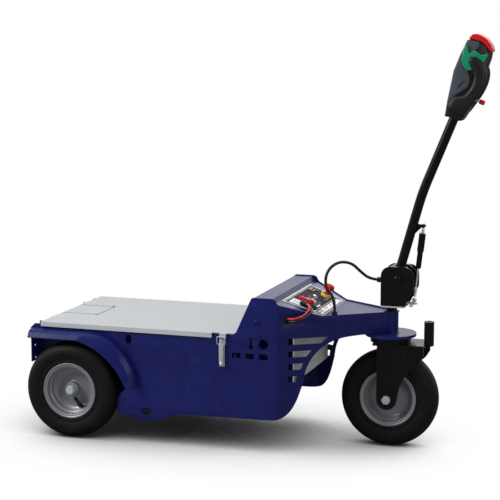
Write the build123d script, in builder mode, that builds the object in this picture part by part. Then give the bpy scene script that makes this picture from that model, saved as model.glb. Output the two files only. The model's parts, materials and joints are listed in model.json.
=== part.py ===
from build123d import *
import math
import os

os.makedirs("parts", exist_ok=True)

# Electric transport cart with two rear wheels, one steered front wheel and a tiller.
# Millimetres. X points forward to the tiller, Y to the left, Z up, floor at Z 0.

# Driving dimensions
wheel_r = 200
tyre_half_w = 52
wheelbase = 1281
rear_track_half = 286
front_reach = 392
body_half_w = 302
sheet = 4
thin_sheet = 3
seat_gap = 0.3
moving_gap = 5

# The origin lies under the middle of the machine's length
rear_x = -(wheelbase + front_reach - wheel_r) / 2
steer_x = rear_x + wheelbase

# Heights
floor_z = 138
deck_z = 480
lid_under_z = deck_z - sheet
rim_z = lid_under_z - 6
arch_top_z = 452
neck_top_z = 556
disc_top_z = 466

# Places along the length
tail_x = rear_x - 183
lid_rear_x = rear_x - 133
lid_flange_end_x = rear_x + 619
lid_front_x = rear_x + 708
cheek_foot_x = rear_x + 714
ridge_rear_x = rear_x + 786
ridge_front_x = rear_x + 876
fold_x = rear_x + 890
panel_foot_x = rear_x + 1045
ridge_z = 631
panel_head_z = 608
panel_foot_z = 552

# Head tube and the two plates that run in to it
head_tube_r = 30
stem_r = 17
neck_end_half = 34
neck_slope = (body_half_w - neck_end_half) / (steer_x - fold_x)
neck_angle = math.degrees(math.atan(neck_slope))


def half_width(x, inset=0.0):
    """Half the body's width at x, taken in from the outer faces by inset."""
    if x <= fold_x:
        return body_half_w - inset
    return body_half_w - (x - fold_x) * neck_slope - inset / math.cos(math.radians(neck_angle))


def save(builder, name):
    """Label a finished sub-part and write it to its own file."""
    builder.part.label = name
    export_step(builder.part, "parts/" + name + ".step")


def mirrored(builder, name):
    """The same sub-part on the other side of the machine."""
    with BuildPart() as other:
        add(builder.part)
        mirror(about=Plane.XZ, mode=Mode.REPLACE)
    save(other, name)
    return other


# Wheel arch, as seen from the side: a flat top and a round front
arch_r = 222
arch_x = rear_x + 75
arch_z = arch_top_z - arch_r
arch_front_x = arch_x + arch_r
arch_rear_x = rear_x - 176

# Side plates: a flat side, then a fold and the neck's side, all one sheet
lobe_z = 98
louvre_rear = 929
louvre_half = 12.5
grommet_x = 926
grommet_z = 543.5
grommet_r = 12
cheek_notch_x = (rear_x + 645, rear_x + 688)
neck_arch_r = 176
neck_arch_x = rear_x + 1160
neck_arch_z = disc_top_z - neck_arch_r

with BuildPart() as side_plate_right:
    with BuildSketch(Plane.XY.offset(lobe_z - sheet)):
        with BuildLine():
            inner_fold_x = fold_x - sheet * math.tan(math.radians(neck_angle / 2))
            Polyline(
                (tail_x, -body_half_w),
                (fold_x, -body_half_w),
                (steer_x, -half_width(steer_x)),
                (steer_x, -half_width(steer_x, sheet)),
                (inner_fold_x, -body_half_w + sheet),
                (tail_x, -body_half_w + sheet),
                close=True,
            )
        make_face()
    extrude(amount=ridge_z - lobe_z + 2 * sheet)
    with BuildSketch(Plane.XZ):
        with BuildLine():
            Polyline(
                (tail_x, arch_top_z),
                (tail_x + 20, rim_z),
                (lid_flange_end_x + 3, rim_z),
                (lid_flange_end_x + 9, lid_under_z),
                (cheek_notch_x[0], lid_under_z),
                (cheek_notch_x[0], rim_z),
                (cheek_notch_x[1], rim_z),
                (cheek_notch_x[1], lid_under_z),
                (cheek_foot_x, lid_under_z),
                (ridge_rear_x, ridge_z),
                (ridge_front_x, ridge_z),
                (fold_x, ridge_z - 15),
                (panel_foot_x, panel_foot_z + 2),
                (steer_x, neck_top_z),
                (steer_x, disc_top_z),
                (neck_arch_x, disc_top_z),
            )
            CenterArc((neck_arch_x, neck_arch_z), neck_arch_r, 90, 90)
            ThreePointArc(
                (neck_arch_x - neck_arch_r, neck_arch_z),
                (fold_x + 68, neck_arch_z - 72),
                (fold_x + 10, floor_z + 8),
            )
            Polyline(
                (fold_x + 10, floor_z + 8),
                (fold_x - 28, floor_z - 2),
                (rear_x + 414, floor_z - 8),
                (rear_x + 395, lobe_z),
                (rear_x + 272, lobe_z),
                (rear_x + 262, lobe_z + 12),
                (rear_x + 262, arch_z - 80),
                (arch_front_x, arch_z - 30),
                (arch_front_x, arch_z),
            )
            CenterArc((arch_x, arch_z), arch_r, 0, 90)
            Line((arch_x, arch_top_z), (tail_x, arch_top_z))
        make_face()
    extrude(amount=body_half_w + sheet, mode=Mode.INTERSECT)
    # Holes in the flat side: x and z of the middle, width, height, all on rounded slots
    with BuildSketch(Plane.XZ.offset(body_half_w - sheet)):
        with Locations((rear_x + 256, 429)):
            SlotOverall(34, 18, rotation=90)
        with Locations((rear_x + 329, 134)):
            SlotOverall(40, 20)
        with Locations((rear_x + 834, 445)):
            Circle(17)
        with Locations((rear_x + 782, 432)):
            Circle(9)
        with Locations((rear_x + 782, 452)):
            Rectangle(9, 34)
        for slot_x in (721, 777, 834):
            with Locations((rear_x + slot_x, 393)):
                Rectangle(36, 22)
    extrude(amount=sheet, mode=Mode.SUBTRACT)
    # Louvres in the neck's side, from the top down: z of the middle, x of the front end, its slant
    with BuildSketch(Plane.XZ.offset(body_half_w / 3)):
        for slot_z, front_x, slant in ((456, 1054, 27), (405, 1000, 18), (354, 976, 9), (304, 956, 4)):
            with BuildLine():
                Polyline(
                    (rear_x + louvre_rear, slot_z - louvre_half),
                    (rear_x + front_x - slant / 2, slot_z - louvre_half),
                    (rear_x + front_x + slant / 2, slot_z + louvre_half),
                    (rear_x + louvre_rear, slot_z + louvre_half),
                    close=True,
                )
            make_face()
    extrude(amount=body_half_w * 2 / 3, mode=Mode.SUBTRACT)
    with Locations((rear_x + grommet_x, -half_width(rear_x + grommet_x), grommet_z)):
        Cylinder(grommet_r, 4 * sheet, rotation=(90, 0, neck_angle), mode=Mode.SUBTRACT)
    with Locations((steer_x, 0, neck_top_z)):
        Cylinder(head_tube_r, 2 * neck_top_z, mode=Mode.SUBTRACT)
save(side_plate_right, "side_plate_right")
mirrored(side_plate_right, "side_plate_left")

# Battery tub: floor with its front and rear walls, one bent sheet
pan_rear_x = rear_x + 302
pan_front_x = fold_x - thin_sheet
inner_half_w = body_half_w - sheet
with BuildPart() as tub_pan:
    with BuildSketch(Plane.XZ.offset(-inner_half_w)):
        with BuildLine():
            Polyline(
                (pan_rear_x, rim_z - 8),
                (pan_rear_x, floor_z),
                (pan_front_x, floor_z),
                (pan_front_x, rim_z - 8),
                (pan_front_x - sheet, rim_z - 8),
                (pan_front_x - sheet, floor_z + sheet),
                (pan_rear_x + sheet, floor_z + sheet),
                (pan_rear_x + sheet, rim_z - 8),
                close=True,
            )
        make_face()
    extrude(amount=2 * inner_half_w)
save(tub_pan, "tub_pan")

# Batteries, one block
with BuildPart() as battery_pack:
    with Locations((rear_x + 595, 0, floor_z + sheet + seat_gap)):
        Box(520, 530, 230, align=(Align.CENTER, Align.CENTER, Align.MIN))
save(battery_pack, "battery_pack")

# Wheel wells: an arched roof from the side plate in to an upright wall
well_wall_y = 222
with BuildPart() as well_liner_right:
    with BuildSketch(Plane.XZ.offset(well_wall_y)):
        with BuildLine():
            Polyline(
                (arch_rear_x - 3, floor_z + 12),
                (arch_front_x, floor_z + 12),
                (arch_front_x, arch_z),
            )
            CenterArc((arch_x, arch_z), arch_r, 0, 90)
            Polyline(
                (arch_x, arch_top_z),
                (arch_x, rim_z - 4),
                (arch_rear_x - 3, rim_z - 4),
                (arch_rear_x - 3, floor_z + 12),
            )
        make_face()
        with Locations((rear_x, wheel_r)):
            Circle(22, mode=Mode.SUBTRACT)
    extrude(amount=sheet)
    with BuildSketch(Plane.XZ.offset(well_wall_y)):
        with BuildLine():
            Line((arch_rear_x, arch_top_z), (arch_x, arch_top_z))
            CenterArc((arch_x, arch_z), arch_r, 0, 90)
            Polyline(
                (arch_front_x, arch_z),
                (arch_front_x, floor_z + 12),
                (arch_front_x - thin_sheet, floor_z + 12),
                (arch_front_x - thin_sheet, arch_z),
            )
            CenterArc((arch_x, arch_z), arch_r - thin_sheet, 0, 90)
            Polyline(
                (arch_x, arch_top_z - thin_sheet),
                (arch_rear_x, arch_top_z - thin_sheet),
                (arch_rear_x, arch_top_z),
            )
        make_face()
    extrude(amount=inner_half_w - well_wall_y)
save(well_liner_right, "well_liner_right")
mirrored(well_liner_right, "well_liner_left")

# Fenders: the arch carried outboard, its crown falling away to a lower lip
fender_out = 48
lip_drop = 32
with BuildPart() as fender_right:
    for reach in (0, 0.5, 0.82, 1):
        lip = 1 - math.sqrt(1 - reach**2)
        with BuildSketch(Plane.XZ.offset(body_half_w + fender_out * reach)):
            with BuildLine():
                top_z = arch_top_z - lip_drop * lip
                knee = (arch_x - 35 * lip, top_z)
                toe = (arch_front_x - 34 * lip, arch_z)
                bow = arch_r * (1 - 0.17 * lip) * math.cos(math.radians(45))
                middle = (arch_x + bow - 20 * lip, arch_z + bow - 14 * lip)
                Line((arch_rear_x, top_z), knee)
                ThreePointArc(knee, middle, toe)
                Line(toe, (toe[0] - thin_sheet, toe[1]))
                ThreePointArc(
                    (toe[0] - thin_sheet, toe[1]),
                    (middle[0] - thin_sheet, middle[1] - thin_sheet),
                    (knee[0], knee[1] - thin_sheet),
                )
                Line((knee[0], knee[1] - thin_sheet), (arch_rear_x, top_z - thin_sheet))
                Line((arch_rear_x, top_z - thin_sheet), (arch_rear_x, top_z))
            make_face()
    loft(ruled=True)
save(fender_right, "fender_right")
mirrored(fender_right, "fender_left")

# Rear wall, full width above the wheels and narrower between them
with BuildPart() as rear_wall:
    with BuildSketch(Plane.YZ.offset(tail_x)):
        with Locations((0, (305 + arch_top_z) / 2)):
            Rectangle(2 * body_half_w, arch_top_z - 305)
        with Locations((0, 250)):
            Rectangle(2 * well_wall_y, 120)
        with GridLocations(534, 53, 2, 2):
            with Locations((0, 344)):
                Circle(6, mode=Mode.SUBTRACT)
    extrude(amount=sheet)
save(rear_wall, "rear_wall")

# Cross rail that carries the lid's hinges
hinge_y = 163
hinge_x = lid_rear_x - 6
hinge_z = lid_under_z - 2
rail_front_x = hinge_x - 4
with BuildPart() as rear_rail:
    with Locations((rail_front_x - 10, 0, 440)):
        Box(20, 2 * well_wall_y, 30)
save(rear_rail, "rear_rail")

knuckle_r = 5
hinge_pin_r = 3
with BuildPart() as hinge_pins:
    for y in (-hinge_y, hinge_y):
        with Locations((hinge_x, y, hinge_z)):
            Cylinder(hinge_pin_r, 60, rotation=(90, 0, 0))
            Cylinder(knuckle_r, 18, rotation=(90, 0, 0))
        with Locations((rail_front_x + 1.5, y, (hinge_z + 428) / 2)):
            Box(3, 18, hinge_z - 428)
save(hinge_pins, "hinge_pins")

with BuildPart() as lid_hinges:
    for y in (-hinge_y, hinge_y):
        for side in (-1, 1):
            with Locations((hinge_x, y + side * 19.5, hinge_z)):
                Cylinder(knuckle_r, 20, rotation=(90, 0, 0))
            with Locations((hinge_x + 25, y + side * 19.5, lid_under_z - 1.5)):
                Box(50, 20, 3)
        with Locations((hinge_x, y, hinge_z)):
            Cylinder(hinge_pin_r + seat_gap, 60, rotation=(90, 0, 0), mode=Mode.SUBTRACT)
save(lid_hinges, "lid_hinges")

# Lid: a flat sheet with side flanges and a tongue each side for its latch
lid_half_w = body_half_w + moving_gap + thin_sheet
lid_nose_half_w = inner_half_w - moving_gap - 1
flange_z = 461
hatch_front_x = rear_x + 30
hatch_half_w = 95
hatch_slit = 1.5
ledge = 15
tab_x = rear_x + 666
with BuildPart() as lid_panel:
    with BuildSketch(Plane.XY.offset(lid_under_z)):
        with BuildLine():
            Polyline(
                (lid_rear_x, -lid_half_w),
                (lid_flange_end_x, -lid_half_w),
                (lid_flange_end_x, -lid_nose_half_w),
                (lid_front_x, -lid_nose_half_w),
                (lid_front_x, lid_nose_half_w),
                (lid_flange_end_x, lid_nose_half_w),
                (lid_flange_end_x, lid_half_w),
                (lid_rear_x, lid_half_w),
                close=True,
            )
        make_face()
        with Locations((tab_x, 0)):
            Rectangle(28, 2 * (lid_half_w + 2))
        with Locations(((lid_rear_x + hatch_front_x) / 2, 0)):
            Rectangle(hatch_front_x - lid_rear_x, 2 * hatch_half_w, mode=Mode.SUBTRACT)
    extrude(amount=sheet)
    for side in (-1, 1):
        with Locations(((lid_rear_x + lid_flange_end_x) / 2, side * (lid_half_w - thin_sheet / 2), flange_z)):
            Box(lid_flange_end_x - lid_rear_x, thin_sheet, lid_under_z - flange_z, align=(Align.CENTER, Align.CENTER, Align.MIN))
        with Locations((tab_x, side * (lid_half_w + 0.5), flange_z)):
            Box(28, thin_sheet, lid_under_z - flange_z, align=(Align.CENTER, Align.CENTER, Align.MIN))
    # Ledge under the hatch's edge
    with BuildSketch(Plane.XY.offset(lid_under_z - thin_sheet)):
        with Locations(((lid_rear_x + hatch_front_x) / 2 + ledge, 0)):
            Rectangle(hatch_front_x - lid_rear_x, 2 * (hatch_half_w + ledge))
        with Locations(((lid_rear_x + hatch_front_x) / 2 - ledge, 0)):
            Rectangle(hatch_front_x - lid_rear_x + 2 * ledge, 2 * (hatch_half_w - ledge), mode=Mode.SUBTRACT)
    extrude(amount=thin_sheet)
save(lid_panel, "lid_panel")

with BuildPart() as lid_hatch:
    with BuildSketch(Plane.XY.offset(lid_under_z)):
        with Locations(((lid_rear_x + hatch_front_x - hatch_slit) / 2, 0)):
            Rectangle(hatch_front_x - hatch_slit - lid_rear_x, 2 * (hatch_half_w - hatch_slit))
        fillet(vertices().group_by(Axis.X)[-1], 14)
    extrude(amount=sheet)
save(lid_hatch, "lid_hatch")

# Toggle latches on the side plates
with BuildPart() as lid_latches:
    for side in (-1, 1):
        with Locations((tab_x, side * (body_half_w + 1), 400)):
            Box(22, 2, 110)
        with Locations((tab_x, side * (body_half_w + 9), 396)):
            Box(18, 14, 90)
        with BuildSketch(Plane.XZ.offset(-side * (body_half_w + 15.5))):
            with Locations((tab_x, 449)):
                Rectangle(38, 34)
                Rectangle(30, 26, mode=Mode.SUBTRACT)
        extrude(amount=1.5, both=True)
save(lid_latches, "lid_latches")

# Console: sloped back, ridge and instrument panel in one bent sheet
with BuildPart() as console_cover:
    with BuildSketch(Plane.XZ.offset(-inner_half_w)):
        with BuildLine():
            spine = Polyline(
                (cheek_foot_x + 2, lid_under_z - 4),
                (ridge_rear_x + 2, ridge_z - 4),
                (ridge_front_x - 10, ridge_z - 4),
                (ridge_front_x, panel_head_z),
                (panel_foot_x, panel_foot_z - 2),
            )
            offset(amount=-thin_sheet, side=Side.RIGHT)
        make_face()
    extrude(amount=2 * inner_half_w)
    with BuildSketch(Plane.XY.offset(floor_z)):
        with BuildLine():
            Polyline(
                (cheek_foot_x - 20, -inner_half_w),
                (inner_fold_x, -inner_half_w),
                (panel_foot_x, -half_width(panel_foot_x, sheet)),
                (panel_foot_x, half_width(panel_foot_x, sheet)),
                (inner_fold_x, inner_half_w),
                (cheek_foot_x - 20, inner_half_w),
                close=True,
            )
        make_face()
    extrude(amount=ridge_z, mode=Mode.INTERSECT)
save(console_cover, "console_cover")

# Neck top, between the plates from the panel's foot to the head tube
with BuildPart() as neck_top:
    with BuildSketch(Plane.XY.offset(panel_foot_z - 2 - sheet)):
        with BuildLine():
            Polyline(
                (panel_foot_x, -half_width(panel_foot_x, sheet)),
                (steer_x, -half_width(steer_x, sheet)),
                (steer_x, half_width(steer_x, sheet)),
                (panel_foot_x, half_width(panel_foot_x, sheet)),
                close=True,
            )
        make_face()
        with Locations((steer_x, 0)):
            Circle(head_tube_r, mode=Mode.SUBTRACT)
    extrude(amount=sheet)
save(neck_top, "neck_top")

# Cover plate across the neck, in front of the tub
cover_x = rear_x + 944
with BuildPart() as controller_cover:
    with BuildSketch(Plane.XY.offset(284)):
        with BuildLine():
            Polyline(
                (cover_x, -half_width(cover_x, sheet)),
                (cover_x + thin_sheet, -half_width(cover_x + thin_sheet, sheet)),
                (cover_x + thin_sheet, half_width(cover_x + thin_sheet, sheet)),
                (cover_x, half_width(cover_x, sheet)),
                close=True,
            )
        make_face()
    extrude(amount=270)
save(controller_cover, "controller_cover")

# Head tube and the steering stop disc
with BuildPart() as head_tube:
    with Locations((steer_x, 0, disc_top_z)):
        Cylinder(head_tube_r, neck_top_z - disc_top_z, align=(Align.CENTER, Align.CENTER, Align.MIN))
        Cylinder(stem_r + seat_gap, 400, mode=Mode.SUBTRACT)
save(head_tube, "head_tube")

disc_t = 12
disc_r = 103
with BuildPart() as stop_disc:
    with Locations((steer_x, 0, disc_top_z - disc_t)):
        Cylinder(disc_r, disc_t, align=(Align.CENTER, Align.CENTER, Align.MIN))
        Cylinder(stem_r + seat_gap, 400, mode=Mode.SUBTRACT)
save(stop_disc, "stop_disc")

# Drive axle: housing across the machine, gear case and motor
stub_r = 15
with BuildPart() as drive_unit:
    with Locations((rear_x, 0, wheel_r)):
        Cylinder(32, 2 * well_wall_y, rotation=(90, 0, 0))
        Cylinder(78, 120, rotation=(90, 0, 0))
        Cylinder(stub_r + seat_gap, 2 * well_wall_y, rotation=(90, 0, 0), mode=Mode.SUBTRACT)
        Cylinder(stub_r + seat_gap, 2 * (well_wall_y - 60), rotation=(90, 0, 0))
    with Locations((rear_x + 165, 0, wheel_r)):
        Cylinder(70, 210, rotation=(0, 90, 0))
save(drive_unit, "drive_unit")

# Wheels: tyre and rim profiles are drawn as offset from the wheel's middle, then radius
bead_r = 103
flange_r = 117
flange_half = 42
rim_t = 3


def tyre(x, y, name):
    """A pneumatic tyre round the wheel at x, y."""
    inside = flange_half - rim_t - seat_gap
    half = (
        (bead_r, inside),
        (flange_r + 3, inside),
        (158, tyre_half_w),
        (wheel_r - 14, tyre_half_w - 11),
        (wheel_r, 14),
    )
    with BuildPart() as body:
        with BuildSketch(Plane.XY.offset(wheel_r)):
            with BuildLine():
                right = [(x + radius, y - off) for radius, off in half]
                left = [(x + radius, y + off) for radius, off in reversed(half)]
                Polyline(*right, *left, close=True)
            make_face()
        revolve(axis=Axis((x, y, wheel_r), (0, 1, 0)))
    save(body, name)


def rim(x, y, out, disc_at, bore, hub_r, hub_inner, hub_outer, name):
    """A rolled steel rim with a drop centre, a dished disc and a hub tube; out is the outboard sign of Y."""
    barrel = bead_r - seat_gap
    well = barrel - 9
    outside = (
        (flange_r, flange_half),
        (flange_r, flange_half - rim_t),
        (barrel, flange_half - rim_t),
        (barrel, 20),
        (well, 14),
        (well, -14),
        (barrel, -20),
        (barrel, rim_t - flange_half),
        (flange_r, rim_t - flange_half),
        (flange_r, -flange_half),
    )
    inside = (
        (barrel - rim_t, -flange_half),
        (barrel - rim_t, -20 - rim_t / 2),
        (well - rim_t, -14 - rim_t / 2),
        (well - rim_t, 14 + rim_t / 2),
        (barrel - rim_t, 20 + rim_t / 2),
        (barrel - rim_t, flange_half),
    )
    disc = (
        (well - 1, disc_at + 5),
        (hub_r + 26, disc_at),
        (hub_r - 1, disc_at),
        (hub_r - 1, disc_at - sheet),
        (hub_r + 26, disc_at - sheet),
        (well - 1, disc_at + 5 - sheet),
    )
    with BuildPart() as body:
        with BuildSketch(Plane.XY.offset(wheel_r)):
            for outline in (outside + inside, disc):
                with BuildLine():
                    Polyline(*[(x + radius, y + out * off) for radius, off in outline], close=True)
                make_face()
            with Locations((x + (bore + hub_r) / 2, y + out * (hub_inner + hub_outer) / 2)):
                Rectangle(hub_r - bore, hub_outer - hub_inner)
        revolve(axis=Axis((x, y, wheel_r), (0, 1, 0)))
    save(body, name)


front_bolt_r = 10
fork_inner = 62
tyre(rear_x, -rear_track_half, "tyre_rear_right")
tyre(rear_x, rear_track_half, "tyre_rear_left")
tyre(steer_x, 0, "tyre_front")
rim(rear_x, -rear_track_half, -1, -8, stub_r, 30, -50, 20, "rim_rear_right")
rim(rear_x, rear_track_half, 1, -8, stub_r, 30, -50, 20, "rim_rear_left")
rim(steer_x, 0, -1, 0, front_bolt_r + seat_gap, 24, 1 - fork_inner, fork_inner - 1, "rim_front")

# Stub axles turn with the rear wheels: a shaft out of the housing, a washer and a nut
for side, name in ((-1, "stub_axle_right"), (1, "stub_axle_left")):
    with BuildPart() as stub_axle:
        with BuildSketch(Plane.XZ.offset(-side * (well_wall_y - 58))):
            with Locations((rear_x, wheel_r)):
                Circle(stub_r)
        extrude(amount=-side * (rear_track_half + flange_half - well_wall_y + 58))
        with BuildSketch(Plane.XZ.offset(-side * (rear_track_half + flange_half - 22))):
            with Locations((rear_x, wheel_r)):
                RegularPolygon(20, 6)
        extrude(amount=-side * 16)
    save(stub_axle, name)

# Fork: crown plate with two legs
crown_under_z = 420
crown_t = 10
leg_t = 9.5
fork_outer = fork_inner + leg_t
post_ahead = 157
post_r = 20
with BuildPart() as fork:
    with BuildSketch(Plane.XY.offset(crown_under_z)):
        with Locations((steer_x + 45, 0)):
            Rectangle(208, 2 * fork_outer)
        with Locations((steer_x + post_ahead, 0)):
            Circle(post_r)
        with Locations((steer_x + post_ahead - 10, 0)):
            Rectangle(20, 2 * post_r)
    extrude(amount=crown_t)
    for side in (-1, 1):
        with BuildSketch(Plane.XZ.offset(-side * fork_inner)):
            with BuildLine():
                Polyline(
                    (steer_x + 41, wheel_r),
                    (steer_x + 52, wheel_r + 50),
                    (steer_x + 62, wheel_r + 82),
                    (steer_x + 84, wheel_r + 114),
                    (steer_x + 132, wheel_r + 159),
                    (steer_x + 149, wheel_r + 186),
                    (steer_x + 149, crown_under_z),
                    (steer_x - 41, crown_under_z),
                    (steer_x - 41, wheel_r),
                )
                ThreePointArc((steer_x - 41, wheel_r), (steer_x, wheel_r - 41), (steer_x + 41, wheel_r))
            make_face()
            with Locations((steer_x, wheel_r)):
                Circle(front_bolt_r, mode=Mode.SUBTRACT)
        extrude(amount=-side * leg_t)
save(fork, "fork")

# Towing post on the crown, bored for a pin
post_bore_r = 7.5
with BuildPart() as tow_post:
    with Locations((steer_x + post_ahead, 0, crown_under_z + crown_t)):
        Cylinder(post_r, 89, align=(Align.CENTER, Align.CENTER, Align.MIN))
        Cylinder(post_bore_r, 89, align=(Align.CENTER, Align.CENTER, Align.MIN), mode=Mode.SUBTRACT)
save(tow_post, "tow_post")

with BuildPart() as front_axle:
    with BuildSketch(Plane.XZ.offset(-fork_outer - 10)):
        with Locations((steer_x, wheel_r)):
            Circle(front_bolt_r)
    extrude(amount=2 * fork_outer + 20)
    for side in (-1, 1):
        with BuildSketch(Plane.XZ.offset(-side * fork_outer)):
            with Locations((steer_x, wheel_r)):
                RegularPolygon(18, 6)
        extrude(amount=-side * 10)
save(front_axle, "front_axle")

# Turntable bearing under the disc, and the stem through the head tube
bearing_r = 82
base_z = 576
with BuildPart() as steering_stem:
    with Locations((steer_x, 0, crown_under_z + crown_t)):
        Cylinder(bearing_r, disc_top_z - disc_t - seat_gap - crown_under_z - crown_t,
                 align=(Align.CENTER, Align.CENTER, Align.MIN))
        Cylinder(stem_r, base_z - crown_under_z - crown_t, align=(Align.CENTER, Align.CENTER, Align.MIN))
    with BuildSketch(Plane.XY.offset(neck_top_z + seat_gap)):
        with Locations((steer_x, 0)):
            RegularPolygon(24, 6)
    extrude(amount=base_z - neck_top_z - seat_gap - 6)
save(steering_stem, "steering_stem")

# Tiller bracket: a box with round-topped cheeks, open along its middle for the tiller
pivot_x = steer_x + 37
pivot_z = 693
tube_r = 19
pivot_r = 12
bracket_half = 52
bracket_rear_x = steer_x - 33
cheek_top_z = pivot_z + 49
with BuildPart() as bracket_base:
    with Locations((steer_x + 15, 0, base_z)):
        Box(96, 2 * bracket_half, 6, align=(Align.CENTER, Align.CENTER, Align.MIN))
save(bracket_base, "bracket_base")

with BuildPart() as tiller_bracket:
    for side in (-1, 1):
        with BuildSketch(Plane.XZ.offset(-side * (bracket_half - sheet))):
            with BuildLine():
                Polyline(
                    (bracket_rear_x, base_z + 6),
                    (steer_x + 64, base_z + 6),
                    (steer_x + 102, pivot_z - 38),
                    (steer_x + 102, cheek_top_z),
                    (bracket_rear_x, cheek_top_z),
                    close=True,
                )
            make_face()
            top_corners = vertices().group_by(Axis.Y)[-1]
            fillet(top_corners, 38)
            fillet(vertices().sort_by(Axis.X)[-1], 30)
        extrude(amount=-side * sheet)
    with Locations((bracket_rear_x + sheet / 2, 0, base_z + 6)):
        Box(sheet, 2 * bracket_half - 2 * sheet, 118, align=(Align.CENTER, Align.CENTER, Align.MIN))
    with Locations((steer_x + 16, 0, base_z + 6)):
        Box(98, 2 * bracket_half - 2 * sheet, sheet, align=(Align.CENTER, Align.CENTER, Align.MIN))
save(tiller_bracket, "tiller_bracket")

# Galvanised cover over the bracket's top, slotted for the tiller's travel
cover_half = bracket_half - sheet - seat_gap
with BuildPart() as bracket_cover:
    with BuildSketch(Plane.XZ.offset(-cover_half)):
        with BuildLine():
            Polyline(
                (bracket_rear_x + 12, cheek_top_z - 20),
                (bracket_rear_x + 36, cheek_top_z),
                (steer_x + 66, cheek_top_z),
                (steer_x + 92, cheek_top_z - 22),
            )
            offset(amount=2, side=Side.RIGHT)
        make_face()
    extrude(amount=2 * cover_half)
    with Locations((pivot_x + 70, 0, cheek_top_z)):
        Box(182, 2 * tube_r + 12, 90, mode=Mode.SUBTRACT)
save(bracket_cover, "bracket_cover")

with BuildPart() as pivot_bolt:
    with Locations((pivot_x, 0, pivot_z)):
        Cylinder(pivot_r, 2 * (bracket_half - sheet), rotation=(90, 0, 0))
        for side in (-1, 1):
            with Locations((0, side * (bracket_half + 4), 0)):
                Cylinder(18, 8, rotation=(90, 0, 0))
save(pivot_bolt, "pivot_bolt")

# Gas spring pins, at the bracket and on the tiller
lower_pin = (steer_x + 94, 604)
upper_pin = (steer_x + 127, 906)
ball_r = 8
foot_z = base_z + 6 + sheet
with BuildPart() as spring_foot:
    with Locations(((steer_x + 40 + lower_pin[0]) / 2, 0, foot_z)):
        Box(lower_pin[0] - steer_x - 28, 20, 8, align=(Align.CENTER, Align.CENTER, Align.MIN))
    with Locations((lower_pin[0], 0, lower_pin[1])):
        Cylinder(ball_r, 22, rotation=(90, 0, 0))
    with Locations((lower_pin[0], 0, foot_z)):
        Cylinder(5, lower_pin[1] - foot_z, align=(Align.CENTER, Align.CENTER, Align.MIN))
save(spring_foot, "spring_foot")

# Tiller: tube with one bend, a sleeve on the pivot and a lug for the gas spring
tiller_lean = 15.5
tiller_bend = 6.5
setback = 12
low_run = 355
high_run = 345
lean = math.radians(tiller_lean)
lean_high = math.radians(tiller_lean + tiller_bend)
tube_foot = (pivot_x - setback * math.cos(lean), pivot_z + setback * math.sin(lean))


def along(start, angle, distance, forward=0.0):
    """A point distance up a line that leans forward by angle, then forward across it."""
    return (
        start[0] + distance * math.sin(angle) + forward * math.cos(angle),
        start[1] + distance * math.cos(angle) - forward * math.sin(angle),
    )


tube_start = along(tube_foot, lean, -20)
tube_knee = along(tube_foot, lean, low_run)
tube_end = along(tube_knee, lean_high, high_run)
with BuildPart() as tiller_tube:
    with BuildLine():
        path = FilletPolyline(
            (tube_start[0], 0, tube_start[1]),
            (tube_knee[0], 0, tube_knee[1]),
            (tube_end[0], 0, tube_end[1]),
            radius=900,
        )
    with BuildSketch(Plane(origin=path @ 0, z_dir=path % 0)):
        Circle(tube_r)
    sweep()
    with Locations((pivot_x, 0, pivot_z)):
        Cylinder(20, 80, rotation=(90, 0, 0))
        Cylinder(pivot_r + seat_gap, 90, rotation=(90, 0, 0), mode=Mode.SUBTRACT)
save(tiller_tube, "tiller_tube")

with BuildPart() as spring_lug:
    with BuildSketch(Plane.XZ.offset(-5)):
        with BuildLine():
            Polyline(
                along(tube_foot, lean, 190, tube_r),
                along(tube_foot, lean, 230, tube_r),
                (upper_pin[0] + 4, upper_pin[1] + 4),
                (upper_pin[0] - 5, upper_pin[1] - 4),
                close=True,
            )
        make_face()
    extrude(amount=10)
    with Locations((upper_pin[0], 0, upper_pin[1])):
        Cylinder(ball_r, 22, rotation=(90, 0, 0))
save(spring_lug, "spring_lug")

# Gas spring: cylinder hung from the tiller, rod down to the bracket
spring_len = math.dist(lower_pin, upper_pin)
spring_dir = Vector(lower_pin[0] - upper_pin[0], 0, lower_pin[1] - upper_pin[1]).normalized()
spring_top = Vector(upper_pin[0], 0, upper_pin[1])


def spring_plane(distance):
    """Plane across the gas spring at a distance below its upper pin."""
    return Plane(origin=spring_top + spring_dir * distance, z_dir=spring_dir)


cylinder_r = 11
sleeve_r = 13.5
rod_r = 4
cylinder_run = (30, 174)
sleeve_run = 106
with BuildPart() as gas_cylinder:
    with BuildSketch(spring_plane(ball_r + seat_gap)):
        Circle(6)
    extrude(amount=cylinder_run[0] - ball_r - seat_gap)
    with BuildSketch(spring_plane(cylinder_run[0])):
        Circle(sleeve_r)
    extrude(amount=sleeve_run - cylinder_run[0])
    with BuildSketch(spring_plane(sleeve_run)):
        Circle(cylinder_r)
    extrude(amount=cylinder_run[1] - sleeve_run)
    with BuildSketch(spring_plane(sleeve_run - 40)):
        Circle(rod_r + seat_gap)
    extrude(amount=cylinder_run[1], mode=Mode.SUBTRACT)
save(gas_cylinder, "gas_cylinder")

with BuildPart() as gas_rod:
    with BuildSketch(spring_plane(sleeve_run + 40)):
        Circle(rod_r)
    extrude(amount=spring_len - sleeve_run - 40 - 20)
    with BuildSketch(spring_plane(spring_len - 50)):
        Circle(7)
    extrude(amount=50 - ball_r - moving_gap)
save(gas_rod, "gas_rod")

# Tiller head: shell, grips, thumb throttle, reversing button and key
head_half_w = 38
head_nose_x = steer_x + 392
nose_half = 16
finger_x = 846
finger_y = 20 + head_half_w / 2
finger_z = 1420
shell_top = ((838, 1644), (888, 1631), (925, 1575))


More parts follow.
